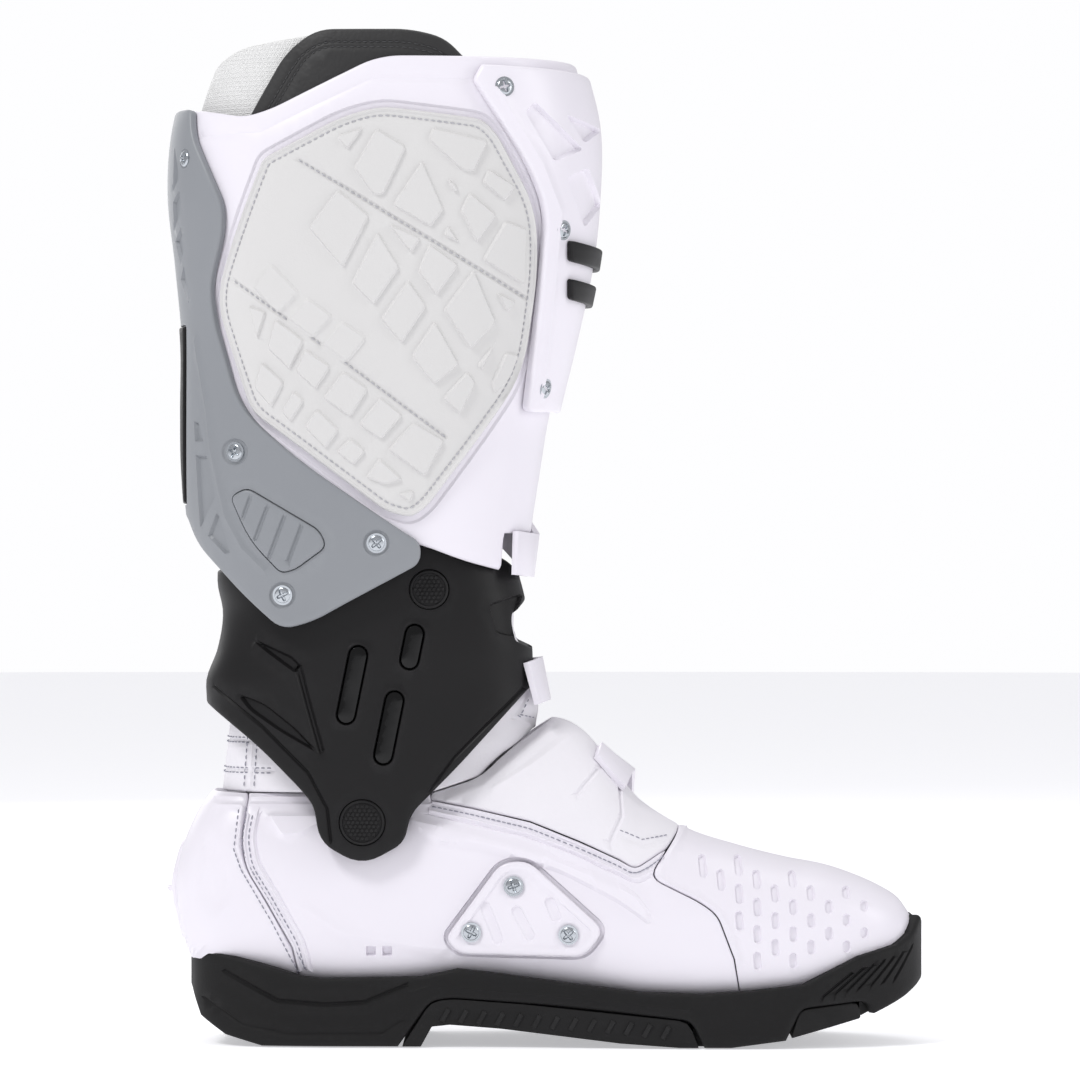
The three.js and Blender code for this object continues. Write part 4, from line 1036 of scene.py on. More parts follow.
def thread_shape():
    """A stitch: a short bowed thread, thin at both ends."""
    corners, faces, sides = [], [], 6
    stations = [(-0.5, 0.25, -0.3), (-0.35, 0.85, 0.15), (0, 1, 0.4), (0.35, 0.85, 0.15),
                (0.5, 0.25, -0.3)]
    for x, thick, lift in stations:
        for k in range(sides):
            a = 2 * math.pi * k / sides
            corners.append((x, 0.5 * thick * math.cos(a), 0.5 * thick * math.sin(a) + lift))
    for i in range(len(stations) - 1):
        for k in range(sides):
            j = (k + 1) % sides
            a, b = i * sides, (i + 1) * sides
            faces.append((a + k, b + k, b + j, a + j))
    faces.append(tuple(range(sides)))
    faces.append(tuple(range(len(corners) - 1, len(corners) - 1 - sides, -1)))
    return Part(corners, faces)


def screw_shape():
    """A cross-head screw, a unit in radius, its head a low dome on a flat rim."""
    radii = [0.0, 0.16, 0.3, 0.42, 0.5, 0.62, 0.72, 0.8, 0.92, 1.0]
    sides = 48
    corners = [(0, 0, -0.12)]
    for r in radii[1:]:
        for k in range(sides):
            a = 2 * math.pi * k / sides
            x, y = r * math.cos(a), r * math.sin(a)
            dome = 0.3 * math.sqrt(max(0, 1 - (r / 1.02) ** 2)) if r < 0.78 else 0.06
            cut = min(abs(x), abs(y)) < 0.115 and max(abs(x), abs(y)) < 0.55
            corners.append((x, y, dome - (0.28 if cut else 0)))
    for k in range(sides):
        a = 2 * math.pi * k / sides
        corners.append((math.cos(a), math.sin(a), -0.4))
    rings = len(radii)
    faces = [(0, 1 + k, 1 + (k + 1) % sides) for k in range(sides)]
    for i in range(rings - 1):
        for k in range(sides):
            j = (k + 1) % sides
            a, b = 1 + i * sides, 1 + (i + 1) * sides
            faces.append((a + k, b + k, b + j, a + j))
    last = 1 + (rings - 1) * sides
    faces.append(tuple(last + k for k in range(sides - 1, -1, -1)))
    return Part(corners, faces)


def block_shape():
    """A rib or lug with sloping sides."""
    corners = [(x * s, y * s, z) for z, s in ((-0.5, 1), (0.35, 0.9), (0.5, 0.8))
               for x, y in ((-0.5, -0.5), (0.5, -0.5), (0.5, 0.5), (-0.5, 0.5))]
    faces = [(3, 2, 1, 0), (8, 9, 10, 11)]
    for a in (0, 4):
        faces += [(a + k, a + (k + 1) % 4, a + 4 + (k + 1) % 4, a + 4 + k) for k in range(4)]
    return Part(corners, faces)


def dot_shape():
    """A low six-sided dot."""
    sides = 6
    rings = [(0.5, -0.5), (0.5, 0.2), (0.34, 0.5)]
    corners = [(r * math.cos(2 * math.pi * k / sides), r * math.sin(2 * math.pi * k / sides), z)
               for r, z in rings for k in range(sides)]
    faces = [tuple(range(sides - 1, -1, -1)), tuple(2 * sides + k for k in range(sides))]
    for a in (0, sides):
        faces += [(a + k, a + (k + 1) % sides, a + sides + (k + 1) % sides, a + sides + k)
                  for k in range(sides)]
    return Part(corners, faces)


STITCH = (1.9, 0.5, 0.45)  # length, width, height
STITCH_GAP = 2.6
SCREW = (4.1, 4.1, 3.4)  # radius both ways, and the scale of its height
SHAPES = {
    "thread": shape_object("thread_shape", thread_shape()),
    "screw": shape_object("screw_shape", screw_shape()),
    "block": shape_object("block_shape", block_shape()),
    "dot": shape_object("dot_shape", dot_shape()),
}


def copies(name, shape, spots, size, look, body, nodes=(), uneven=0.0, seed=7):
    """One piece made of copies of a small shape. A spot is a place, a facing and a run."""
    mesh = bpy.data.meshes.new(name)
    mesh.from_pydata([tuple(np.asarray(s[0]) * MM) for s in spots], [], [])
    for key, k in (("facing", 1), ("along", 2)):
        values = mesh.attributes.new(key, "FLOAT_VECTOR", "POINT")
        values.data.foreach_set("vector", np.array([s[k] for s in spots], np.float32).ravel())
    draft = bpy.data.objects.new(name, mesh)
    bpy.context.scene.collection.objects.link(draft)
    modifier = draft.modifiers.new("copies", "NODES")
    modifier.node_group = COPIES
    sockets = {s.name: s.identifier for s in COPIES.interface.items_tree if s.in_out == "INPUT"}
    modifier[sockets["Copy"]] = SHAPES[shape]
    for key, value in zip(("Length", "Width", "Height"), size):
        modifier[sockets[key]] = value * MM
    modifier[sockets["Unevenness"]] = uneven
    modifier[sockets["Seed"]] = seed
    modifier[sockets["Finish"]] = looks[look]
    made = plain_mesh(draft)
    draft.modifiers.clear()
    draft.data = made
    return settle(draft, body, nodes)


def spaced(line, gap, closed=False):
    """Places a set distance apart along a line, and the way it runs there."""
    line = np.vstack([line, line[:1]]) if closed else np.asarray(line)
    run = np.concatenate([[0], np.cumsum(np.linalg.norm(np.diff(line, axis=0), axis=1))])
    count = max(2, int(run[-1] / gap))
    marks = (np.arange(count) + 0.5) * run[-1] / count
    spots = np.stack([np.interp(marks, run, line[:, k]) for k in (0, 1)], 1)
    ahead = np.stack([np.interp(marks + 0.3, run, line[:, k]) for k in (0, 1)], 1)
    behind = np.stack([np.interp(marks - 0.3, run, line[:, k]) for k in (0, 1)], 1)
    return spots, ahead - behind


def seam_spots(skin, line, gap, height, closed=False):
    """Spots for stitches along a flat line on a skin."""
    spots, way = spaced(line, gap, closed)
    middle = skin.at(spots, height)
    ahead = skin.at(spots + way * 0.5, height) - middle
    return list(zip(middle, skin.normal(spots), ahead))


def screw_spots(skin, places, height, side=-1):
    flat = lay(skin, places, side)
    middle, normal = skin.at(flat, height), skin.normal(flat)
    turns = [0.3, 1.1, 0.7, 2.0, 1.6, 0.1, 0.9]
    runs = [np.array([math.cos(t), 0.0, math.sin(t)]) for t in turns[: len(places)]]
    return list(zip(middle, normal, runs))


# ---- calf ----

calf_back = Leg(CALF)
plate_skin = Leg(CALF, grow=PLATE_FACE)
shin_skin = Leg(CALF, grow=SHIN_FACE, first="front")


def from_front(skin, level, y):
    """How far round from the front middle line a skin reaches a half width."""
    run, points = skin.row(level)
    width = np.abs(points[:, 1])
    widest = int(np.argmax(width))
    if skin.first == "front":
        return float(np.interp(y, width[: widest + 1], run[: widest + 1]))
    return float(run[-1] - np.interp(y, width[widest:][::-1], run[widest:][::-1]))


def height_of(line, x):
    line = np.asarray([p[:2] for p in line], float)
    return np.interp(x, line[:, 0], line[:, 1])


def half_round(skin, level):
    """How far round from its first point a skin's far side is."""
    return skin.length(level) / 2


def level_line(skin, line, start, end, guess):
    """A line given as height by position, laid round a skin from one across place to another."""
    line = soft_corners(line, closed=False)
    across = np.linspace(start, end, max(2, int(abs(end - start) / 1.5)))
    level = np.full(len(across), float(guess))
    for _ in range(6):
        level = 0.5 * level + 0.5 * height_of(line, skin.x_at(across, level))
    return np.stack([across, level], 1)


def calf_shell_loop():
    """The shell is open at the front, further on the buckle side."""
    def right(z):
        return half_round(calf_back, z) - from_front(calf_back, z, 46)

    def left(z):
        return -half_round(calf_back, z) - from_front(calf_back, z, 30)

    top = level_line(calf_back, CALF_TOP, right(406), left(406), 395)
    bottom = level_line(calf_back, CALF_BOTTOM, left(211), right(211), 207)
    rise = np.arange(404, 213, -4.0)
    down = [(left(z), z) for z in rise]
    up = [(right(z), z) for z in rise[::-1]]
    return fine(np.vstack([top, down, bottom, up]), 2.0)


grip_loop = one_side(calf_back, GRIP_EDGE)
grip_frame = one_side(calf_back, GRIP_EDGE, grow=3.4)
plate_loop = both_sides(plate_skin, PLATE_EDGE)
crease = lay_line(calf_back, [(-66, 374), (-40.8, 375), (4.2, 396.3), (44.9, 396.3)])
shell_relief = [
    Relief(grip_frame, -0.9, 1.0),
    Relief(grip_loop, 0.5, 0.4),
    Relief(crease, -0.5, 0.9, width=2.2),
]
piece(
    "calf_shell",
    [panel(calf_back, calf_shell_loop(), -SHELL, 0, edge=1.3, relief=shell_relief, step=4)],
    "white_plastic", "calf", ["calf_shell"],
)

# Grey plate round the back, with its sunk facets.
PLATE_FACETS = [
    [(-68.9, 243.3), (-64, 242.9), (-60.6, 225.9), (-67, 212.6)],
    [(-59.5, 220.2), (-54.2, 203), (-56.3, 202.5), (-63.6, 210)],
    [(-69.8, 257.3), (-67.6, 256.7), (-65.5, 248.8), (-69.2, 248.8)],
    [(-78.2, 372), (-75.8, 358), (-78.8, 352)],
    [(-78.8, 348), (-75.7, 353), (-75.3, 344), (-78.5, 336)],
    [(-78, 332), (-75.1, 338), (-74.1, 328), (-75.7, 322)],
    [(-75.7, 316), (-74.1, 322), (-71.5, 304)],
]
ridge = [(-69, 290), (-64, 262), (-62, 245), (-56, 218), (-49, 205), (-40, 196)]
plate_relief = [Relief(one_side(plate_skin, PAD_EDGE, side, 0.1), -1.1, 0.3) for side in (-1, 1)]
for side in (-1, 1):
    plate_relief += [
        Relief(one_side(plate_skin, corners, side), -1.4, 0.9) for corners in PLATE_FACETS
    ]
    plate_relief.append(Relief(lay_line(plate_skin, ridge, side), 0.8, 1.4, width=3.0))
    plate_relief += [
        Relief(ring_on, -0.7, 0.7) for ring_on in (
            anticlockwise(lay(plate_skin, [(x + 5.6 * math.cos(t), z + 5.6 * math.sin(t))
                                          for t in np.linspace(0, 2 * math.pi, 21)[:-1]], side))
            for x, z in PLATE_SCREWS[1:])
    ]
plate_relief.append(Relief(both_sides(plate_skin, [
    (-90, 297.3), (-73.3, 297.3, 1), (-73.3, 222.7, 1), (-90, 222.7)]), -1.1, 0.3))
piece(
    "calf_plate",
    [panel(plate_skin, plate_loop, GAP - PLATE_FACE, 0, edge=1.2, relief=plate_relief, step=3.4)],
    "grey_plastic", "calf", ["calf_plate"],
)
# Four plain slanted grooves on each inset pad.
PAD_GROOVES = [
    [(-45.5, 225), (-48.3, 217.5)],
    [(-38.5, 221.3), (-43.3, 208.7)],
    [(-31.5, 217.6), (-37.7, 201.2)],
    [(-24.5, 213.8), (-29.8, 199.8)],
]
for word, side in (("inner", -1), ("outer", 1)):
    grooves = [Relief(lay_line(plate_skin, g, side), -0.8, 0.7, width=2.0)
               for g in PAD_GROOVES]
    loop = one_side(plate_skin, PAD_EDGE, side, -GAP)
    piece(
        f"{word}_plate_pad",
        [panel(plate_skin, loop, -0.9, 1.0, edge=0.9, relief=grooves, step=2.6)],
        "grey_plastic", "calf", [f"{word}_plate_pad"],
    )
spine_loop = both_sides(plate_skin, [(-90, 296.6), (-74, 296.6, 1), (-74, 223.4, 1), (-90, 223.4)])
piece(
    "spine_strip", [panel(plate_skin, spine_loop, -0.9, 0.8, edge=0.7, step=3)],
    "black_plastic", "calf", ["spine_strip"],
)

# Grip panel: a stitched rubber skin with raised pads in three fields.
GRIP_PADS = [
    [(6.4, 375.9), (18.7, 368.4), (9.6, 349.1), (5.3, 348.6), (-2.8, 359.8)],
    [(-9.7, 372.7), (1.5, 376.4), (-5.4, 366.8)], [(27.3, 371.1), (28.9, 376.4), (51.4, 371.1),
                                                  (45.5, 358.2), (40.7, 358.8)],
    [(25.1, 363), (33.7, 343.2), (28.3, 335.7), (12.8, 344.8)],
    [(34.2, 357.1), (39.6, 351.8), (37.4, 349.4)],
    [(48.7, 353.9), (51.4, 359.8), (62.1, 352.9), (57.8, 346.4)],
    [(40.1, 342.7), (43.9, 350.2), (54.6, 341.1), (46.6, 329.3)],
    [(33.2, 332.5), (35.3, 336.8), (40.1, 329.3)],
    [(48.7, 322.8), (57.8, 338.9), (66.5, 335.7), (65.4, 312.5)],
    [(-9.2, 351.3), (3.7, 340.5), (-7.1, 319.1), (-21, 335.7)],
    [(10.6, 337.8), (24.6, 331.4), (20.3, 325)],
    [(6.9, 334.1), (16, 319.6), (5.3, 304.1), (-3.8, 313.2)],
    [(27.8, 329.3), (39.6, 320.7), (30.5, 307.8), (23, 318)],
    [(19.2, 314.7), (26.7, 304), (16.5, 288.4), (8, 298.6)],
    [(45.5, 319), (54.1, 297.5), (43.9, 286.3), (33.2, 302.4)],
    [(29.9, 298.1), (39.6, 280.4), (29.4, 271.8), (20.3, 283.6)],
    [(54.1, 310), (62.1, 306.1), (58.4, 301.3)],
    [(42.8, 277.7), (46, 272.9), (39.6, 259.5), (32.6, 266.4)],
    [(46.6, 280.4), (55.1, 291.1), (48.2, 277.7)],
    [(57.8, 285.7), (63, 284.7), (59.3, 274.9), (53.5, 268), (51.9, 272.9)],
    [(-45.2, 304.6), (-37.6, 301.8), (-41.4, 289.5)],
    [(-34.4, 299.1), (-22.6, 290), (-28.5, 277.7), (-37.6, 286.8)],
    [(-39.8, 281.5), (-30.6, 272.9), (-36, 262.2), (-43, 270.7)],
    [(-22.6, 286.8), (-11.9, 279.3), (-18.3, 269.7), (-26.4, 277.2)],
    [(-26.9, 269.7), (-22.6, 265.4), (-28.5, 256.3), (-32.2, 261.1)],
    [(-7.1, 277.7), (3.1, 270.2), (-4.4, 258.4), (-15.6, 266.4)],
    [(-17.8, 262.2), (-8.7, 253.6), (-14.6, 245.5), (-23, 254.6)],
    [(8, 267), (17.1, 259.5), (8, 249.3), (-1.2, 255.7)],
    [(-4.4, 250.4), (2.1, 245), (-3.2, 239), (-10.4, 244.5)],
    [(21.4, 256.8), (33.7, 249.3), (25.7, 234.3), (10.6, 245.5)],
    [(7.4, 242.3), (17.1, 233.2), (9.6, 231), (1.6, 234)],
    [(14.4, 227.4), (21.8, 229), (19.8, 223.5)],
]
# Three plain slanted bars in the middle field.
GRIP_BARS = [
    [(-44, 312), (-33, 300), (-24, 309), (-36, 322)],
    [(-31, 298), (-20, 289.5), (-10.5, 299.5), (-21.5, 308)],
    [(-17, 287), (-6.5, 279.5), (3, 291), (-7.8, 298.5)],
]
GRIP_SEAMS = [[(-25.2, 363.5), (-24.2, 362.7), (65.9, 307.8)], [(-51.5, 314.7), (34.2, 250.4)]]
grip_relief = [Relief(one_side(calf_back, [(*p, 1.6) for p in pad]), 1.3, 0.8)
               for pad in GRIP_PADS]
grip_relief += [Relief(one_side(calf_back, [(*p, 2.5) for p in bar]), 1.0, 1.2)
                for bar in GRIP_BARS]
grip_relief += [Relief(lay_line(calf_back, s), -0.7, 0.9, width=2.6)
                for s in GRIP_SEAMS]
grip_rim = shifted(grip_loop, 0.9)
grip_relief.append(Relief(np.vstack([grip_rim, grip_rim[:1]]), 0.7, 0.8, width=1.7))
grip_stitch = shifted(grip_loop, 3.3)
grip_relief.append(Relief(np.vstack([grip_stitch, grip_stitch[:1]]), -0.4, 0.8, width=1.8))
piece(
    "grip_panel",
    [panel(calf_back, grip_loop, GAP, 2.2, edge=0.8, relief=grip_relief, step=3.0)],
    "pad_rubber", "calf", ["grip_panel"],
)
spots = seam_spots(calf_back, grip_stitch, 2.7, 2.0, closed=True)
for seam in GRIP_SEAMS:
    spots += seam_spots(calf_back, lay_line(calf_back, seam), 2.7, 1.75)
copies("grip_stitches", "thread", spots, (2.0, 0.55, 0.5), "white_thread", "calf", uneven=0.08)

# Shin plate, with the pockets and plain chevrons down its front.


def shin_loop():
    inner = lay(shin_skin, fine(soft_corners(SHIN_EDGE, closed=False), 1.5, False), -1)
    up = [(from_front(shin_skin, z, 29.5), z) for z in np.arange(262, 401, 3.0)]
    return anticlockwise(fine(np.vstack([inner, up]), 1.5))


SHIN_POCKETS = [
    [(67, 383), (71, 387.5), (91, 369), (79, 363)],
    [(83.5, 383), (99, 378.5), (91.5, 371.5)],
    [(84, 357), (93, 362), (99, 348), (91.5, 337)],
]
shin_relief = []
for corners in SHIN_POCKETS:
    for side in (-1, 1):
        loop = one_side(shin_skin, [(*p, 2) for p in corners], side)
        if side < 0 or loop[:, 0].max() < 22:
            shin_relief.append(Relief(loop, -2.2, 1.0))
SHIN_RIDGE = [(56, 392), (74, 362), (81.5, 343), (77.5, 298), (74, 268)]
shin_relief.append(Relief(lay_line(shin_skin, SHIN_RIDGE), 0.7, 1.5, width=3.4))
piece(
    "shin_plate",
    [panel(shin_skin, shin_loop(), GAP - SHIN_FACE, 0, edge=1.4, relief=shin_relief, step=3.2)],
    "white_plastic", "calf", ["shin_plate"],
)
chevrons = []
for low in (303, 318.5):
    chain = [(110, low), (84, low + 4.5, 1.5), (84, low + 13, 1.5), (110, low + 8.5)]
    loop = both_sides(shin_skin, chain[::-1])
    chevrons.append(panel(shin_skin, loop, 0.3, 2.9, edge=0.8, step=2.5))
piece("shin_emblem", chevrons, "black_plastic", "calf", ["shin_emblem"])

calf_screws = screw_spots(plate_skin, PLATE_SCREWS, -0.25)
calf_screws += screw_spots(Leg(CALF, grow=SHIN_FACE), SHIN_SCREWS, -0.1)
copies(
    "calf_screws", "screw", calf_screws, SCREW, "steel", "calf",
    [f"calf_plate_screw_{k}" for k in (1, 2, 3, 4)] + [f"shin_screw_{k}" for k in (1, 2, 3)],
)

# Soft lining, collar and knit cuff.


def closed_loop(skin, levels, step):
    """The whole way round a skin, from its far side to its far side."""
    left = [(-half_round(skin, level), level) for level in levels[::-1]]
    right = [(half_round(skin, level), level) for level in levels]
    return fine(np.vstack([left, right]), step)


def tube_loop(skin, low, high):
    levels = np.arange(low, high + 0.1, 3.0)
    levels[-1] = high
    return closed_loop(skin, levels, 3.0)


def crown(depth, reach):
    """Padding that swells away from its edges."""
    return lambda flat, away: depth * (1 - (1 - np.clip(away / reach, 0, 1)) ** 2)


lining = Leg(CALF, grow=-7)
piece(
    "calf_liner",
    [panel(lining, tube_loop(lining, 239.5, 371.5), 0, 3.4, edge=1.2, step=6,
           seam=partial(half_round, lining))],
    "black_fabric", "calf", ["calf_liner"], weld=0.02,
)
cuff_skin = Leg(CALF, grow=-9.6)
cuff_loop = both_sides(cuff_skin, CUFF_EDGE)
piece(
    "knit_cuff",
    [panel(cuff_skin, cuff_loop, 0, 2.1, edge=1.0, step=4, rise=crown(0.4, 8))],
    "white_knit", "calf", ["knit_cuff"],
)
collar_skin = Leg(CALF, grow=-6.8, first="front")
collar_loop = both_sides(collar_skin, COLLAR_EDGE)
inner_line = lay_line(collar_skin, soft_corners(
    [(-45.1, 381.3), (-30, 408, 8), (-18, 417, 8), (20, 417, 12), (34, 413.5, 8), (43, 404)],
    closed=False), -1)
collar_seams = [shifted(inner_line, -off, False) for off in (5.5, 7.5)]
if not inside(collar_seams[0][20:21], collar_loop)[0]:
    collar_seams = [shifted(inner_line, off, False) for off in (5.5, 7.5)]
collar_relief = [Relief(line, -0.5, 0.7, width=1.6) for line in collar_seams]
piece(
    "collar",
    [panel(collar_skin, collar_loop, 0, 3.0, edge=1.4, relief=collar_relief, step=4,
           rise=crown(0.9, 9))],
    "black_leather", "calf", ["collar"],
)
spots = [s for line in collar_seams for s in seam_spots(collar_skin, line, STITCH_GAP, 3.5)]
copies("collar_stitches", "thread", spots, STITCH, "black_thread", "calf", uneven=0.08)

# ---- brace ----

brace_skin = Leg(BRACE, gap=21)
brace_loop = both_sides(brace_skin, BRACE_EDGE)


def circle(skin, place, radius, side):
    return anticlockwise(lay(skin, [
        (place[0] + radius * math.cos(t), place[1] + radius * math.sin(t))
        for t in np.linspace(0, 2 * math.pi, 33)[:-1]
    ], side))


def capsule(skin, x, z, length, width, side=-1, lean=SLOT_LEAN):
    """A round-ended slot on one side of a skin."""
    half, points = length / 2 - width / 2, []
    for turn, middle in ((0, half), (math.pi, -half)):
        for t in np.linspace(0, math.pi, 9):
            u, v = width / 2 * math.cos(t + turn), middle + width / 2 * math.sin(t + turn)
            points.append((x + u * math.cos(lean) + v * math.sin(lean),
                           z - u * math.sin(lean) + v * math.cos(lean)))
    return anticlockwise(lay(skin, fine(points), side))


UPPER_WEDGE = [(-47.9, 169.2, 1), (-28.4, 160.5, 2), (-25.2, 156.8, 1), (-27.4, 153.5, 1),
               (-40.3, 162.8, 4)]
LOWER_WEDGE = [(-52.2, 145.4, 1), (-40.3, 141.3, 4), (-27.4, 131.2, 3), (-16.5, 119.8, 1),
               (-33.8, 129.6, 4), (-46.8, 138.4, 3)]
WEDGE_EDGE = [(-26.2, 156), (-22, 140), (-16.8, 121.5)]
LOWER_EDGE = [(-62, 148), (-41, 131.5), (-22.5, 113), (-14.5, 98), (-13, 85)]
UPPER_EDGE = [(20, 88), (24, 100), (38, 119), (53, 134), (66, 147)]
NOTCH = [(52, 182, 2), (66, 186.5, 2), (63.5, 177, 2), (63, 168, 2), (55, 170, 2)]
brace_relief = []
for side in (-1, 1):
    for wedge in (UPPER_WEDGE, LOWER_WEDGE):
        brace_relief.append(Relief(one_side(brace_skin, wedge, side), -1.7, 1.0))
    groove = lay_line(brace_skin, WEDGE_EDGE, side)
    brace_relief.append(Relief(groove, -1.3, 1.3, width=3.4))
    for line in (LOWER_EDGE, UPPER_EDGE):
        brace_relief.append(
            Relief(lay_line(brace_skin, line, side), -0.8, 0.8, width=1.8))
    for place, radius in ((ANKLE, ANKLE_CAP), (CALF_PIVOT, CALF_CAP)):
        brace_relief.append(Relief(circle(brace_skin, place, radius + 0.5, side), -1.25, 0.3))
    brace_relief.append(Relief(one_side(brace_skin, NOTCH, side), -1.5, 0.9))
for x, z, length in SLOTS:
    for side in (-1, 1):
        rim_line = capsule(brace_skin, x, z, length + 2.6, SLOT_WIDTH + 2.6, side)
        brace_relief.append(Relief(rim_line, 0.35, 0.5))
        well = capsule(brace_skin, x, z, length + 0.8, SLOT_WIDTH + 0.8, side)
        brace_relief.append(Relief(well, -1.9, 0.5))
piece(
    "ankle_brace",
    [panel(brace_skin, brace_loop, -BRACE_WALL, 0, edge=1.3, relief=brace_relief, step=3.4)],
    "black_plastic", "brace", ["ankle_brace"],
)
gloss = [
    panel(brace_skin, capsule(brace_skin, x, z, length, SLOT_WIDTH, side), -1.45, -0.35,
          edge=1.0, step=2.0, rise=crown(0.35, 3.5))
    for x, z, length in SLOTS for side in (-1, 1)
]
piece("slot_insert", gloss, "gloss_black", "brace", ["slot_insert"])

for word, side in (("inner", -1), ("outer", 1)):
    for joint, place, radius in (("ankle", ANKLE, ANKLE_CAP), ("calf", CALF_PIVOT, CALF_CAP)):
        flat = lay(brace_skin, [place], side)
        middle = brace_skin.at(flat, 0)[0]
        out = np.array([0.0, float(side), 0.0])
        profile = [(radius, -1.1), (radius, 0.45), (radius - 0.35, 0.85), (radius - 1.0, 0.9),
                   (radius - 1.3, 0.35), (0.3, 0.35)]
        piece(f"{word}_{joint}_cap", [turned(profile, middle, out)], "black_plastic",
              "brace", [f"{word}_{joint}_cap"])
        dots, gap = [], 1.9
        for i in range(-6, 7):
            for j in range(-6, 7):
                u, v = (i + (j % 2) / 2) * gap, j * gap * SIX_WAY
                if math.hypot(u, v) < radius - 2.2:
                    dots.append((middle + out * 0.5 + np.array([u, 0, v]), out,
                                 np.array([1.0, 0, 0])))
        copies(f"{word}_{joint}_cap_dots", "dot", dots, (1.7, 1.7, 0.5), "black_plastic", "brace")

for node in ("inner_ankle_pin", "outer_ankle_pin", "inner_calf_pin", "outer_calf_pin", "shank"):
    dress(node, "steel")
for node in ("inner_calf_link", "outer_calf_link", "footbed"):
    dress(node, "nylon")

# ---- ankle bellows ----

bellows_skin = Leg(BELLOWS)
OVER_COLLAR = [(-100, 104), (27.9, 104), (48.4, 110.6), (57.8, 119.9), (68.9, 128.2), (72, 130.2)]


def bellows_loop():
    def half(z):
        return half_round(bellows_skin, z)

    low = level_line(bellows_skin, OVER_COLLAR, -half(131), half(131), 112)
    levels = np.append(np.arange(132, 195, 3.0), 196.0)
    low[0] = (-half(low[0, 1]), low[0, 1])
    low[-1] = (half(low[-1, 1]), low[-1, 1])
    levels = levels[levels > low[0, 1] + 1]
    right = [(half(z), z) for z in levels]
    left = [(-half(z), z) for z in levels[::-1]]
    return fine(np.vstack([low, right, left]), 2.0)


def bellows_folds(flat, away):
    """Soft cross folds at the front and at the back of the ankle."""
    half = bellows_skin.length(flat[:, 1]) / 2
    front = np.clip((np.abs(flat[:, 0]) - half + 62) / 40, 0, 1)
    wave = np.sin((flat[:, 1] + 0.1 * np.abs(flat[:, 0])) / 9.5 * math.pi)
    return 0.9 * front * (wave - 0.3) + 0.35 * np.sin(flat[:, 0] / 23) * np.sin(flat[:, 1] / 11)


HEEL_ROWS = [[(-90, z), (-66, z), (-50, z), (-38, z)] for z in (113.0, 125.5)]
HEEL_SEAM_UP = [(-47.5, 106), (-46.2, 125), (-43, 147)]
FRONT_PATCH = [(67.6, 144), (62.7, 134.5), (70.5, 132.5)]
bellows_relief, spots = [], []
for row in HEEL_ROWS:
    for side in (-1, 1):
        line = lay_line(bellows_skin, row, side)
        bellows_relief.append(Relief(line, -0.6, 0.9, width=2.6))
        spots += seam_spots(bellows_skin, shifted(line, 1.0, False), STITCH_GAP, -0.25)
        spots += seam_spots(bellows_skin, shifted(line, -1.0, False), STITCH_GAP, -0.25)
for side in (-1, 1):
    line = lay_line(bellows_skin, HEEL_SEAM_UP, side)
    bellows_relief.append(Relief(line, 0.7, 0.9, width=3.4))
    spots += seam_spots(bellows_skin, shifted(line, 2.6, False), STITCH_GAP, 0.1)
    spots += seam_spots(bellows_skin, shifted(line, -2.6, False), STITCH_GAP, 0.1)
    line = lay_line(bellows_skin, FRONT_PATCH, side)
    bellows_relief.append(Relief(line, -0.6, 0.9, width=2.4))
    spots += seam_spots(bellows_skin, shifted(line, 1.9 * side, False), STITCH_GAP, 0.1)
bend = ("foot", "brace", (0, 0, 0.104), (0, 0, 0.150))
sleeve = Leg(BELLOWS, grow=-10.5)  # the turned-in end that closes the gap to the foot
piece(
    "ankle_bellows",
    [panel(bellows_skin, bellows_loop(), -3.0, -0.4, edge=1.0, relief=bellows_relief, step=3.4,
           rise=bellows_folds, seam=partial(half_round, bellows_skin)),
     panel(sleeve, tube_loop(sleeve, 97, 136), -1.6, 0, edge=0.8, step=6,
           seam=partial(half_round, sleeve))],
    "white_leather", bend, ["ankle_bellows"], weld=0.03,
)
copies("bellows_stitches", "thread", spots, STITCH, "grey_thread", bend, uneven=0.08)

# ---- foot ----

foot = Foot()
TUCK = 4.5  # how far the shells reach down inside the sole


def skirt(points):
    """A line inside the sole, below its top edge."""
    return [(x, float(height_of(SOLE_TOP, x)) - TUCK) for x in points]


heel_chain = [(-64.4, 104.6), (-48.2, 104), *HEEL_SEAM[:-1], (-26.5, 25)]
heel_chain += skirt([-36, -54, -73]) + [(-76, 34), (-79.05, 60)]
heel_loop = both_sides(foot, heel_chain)
toe_chain = [*TOE_SEAM[:-1], (155.8, 18.5)] + skirt([159, 175, 192, 202, 216.5, 223])
toe_chain += [(226.5, 43.5), (227.55, 48.5)]
toe_loop = both_sides(foot, toe_chain)
instep_chain = THROAT[::-1] + INSTEP_SEAM[:6] + [(117.6, 76.8, 2), (125.6, 82.2, 2), (131, 89.2),
                                                (131.2, 100)]
instep_loop = both_sides(foot, instep_chain)
SHELL_SIDE = [
    (-47.6, 104), (-47.6, 101.7), (-50.4, 85.3, 20), (-48.4, 73, 20), (-40.6, 60.7, 20),
    (-29.1, 40.2), *skirt([-25.8, -17, 24, 39, 57, 81, 114, 139, 155.4]),
    (152.5, 36.1), (145.6, 54.3, 12), (138.3, 59.6, 20), (117.5, 69.9, 6), (125.2, 81.2, 1),
    (118, 76.5), (112, 72.9, 6), (105.8, 76.5), (89.4, 83.9), (68.9, 92.1), (44.3, 97.8),
    (27.9, 100.9), (27.5, 104),
]
REAR_SHOULDER = [(-41, 95.5), (-36.9, 89, 2), (-33.9, 85, 2), (-24.7, 86, 2), (-15.5, 91), (-12, 95.5)]
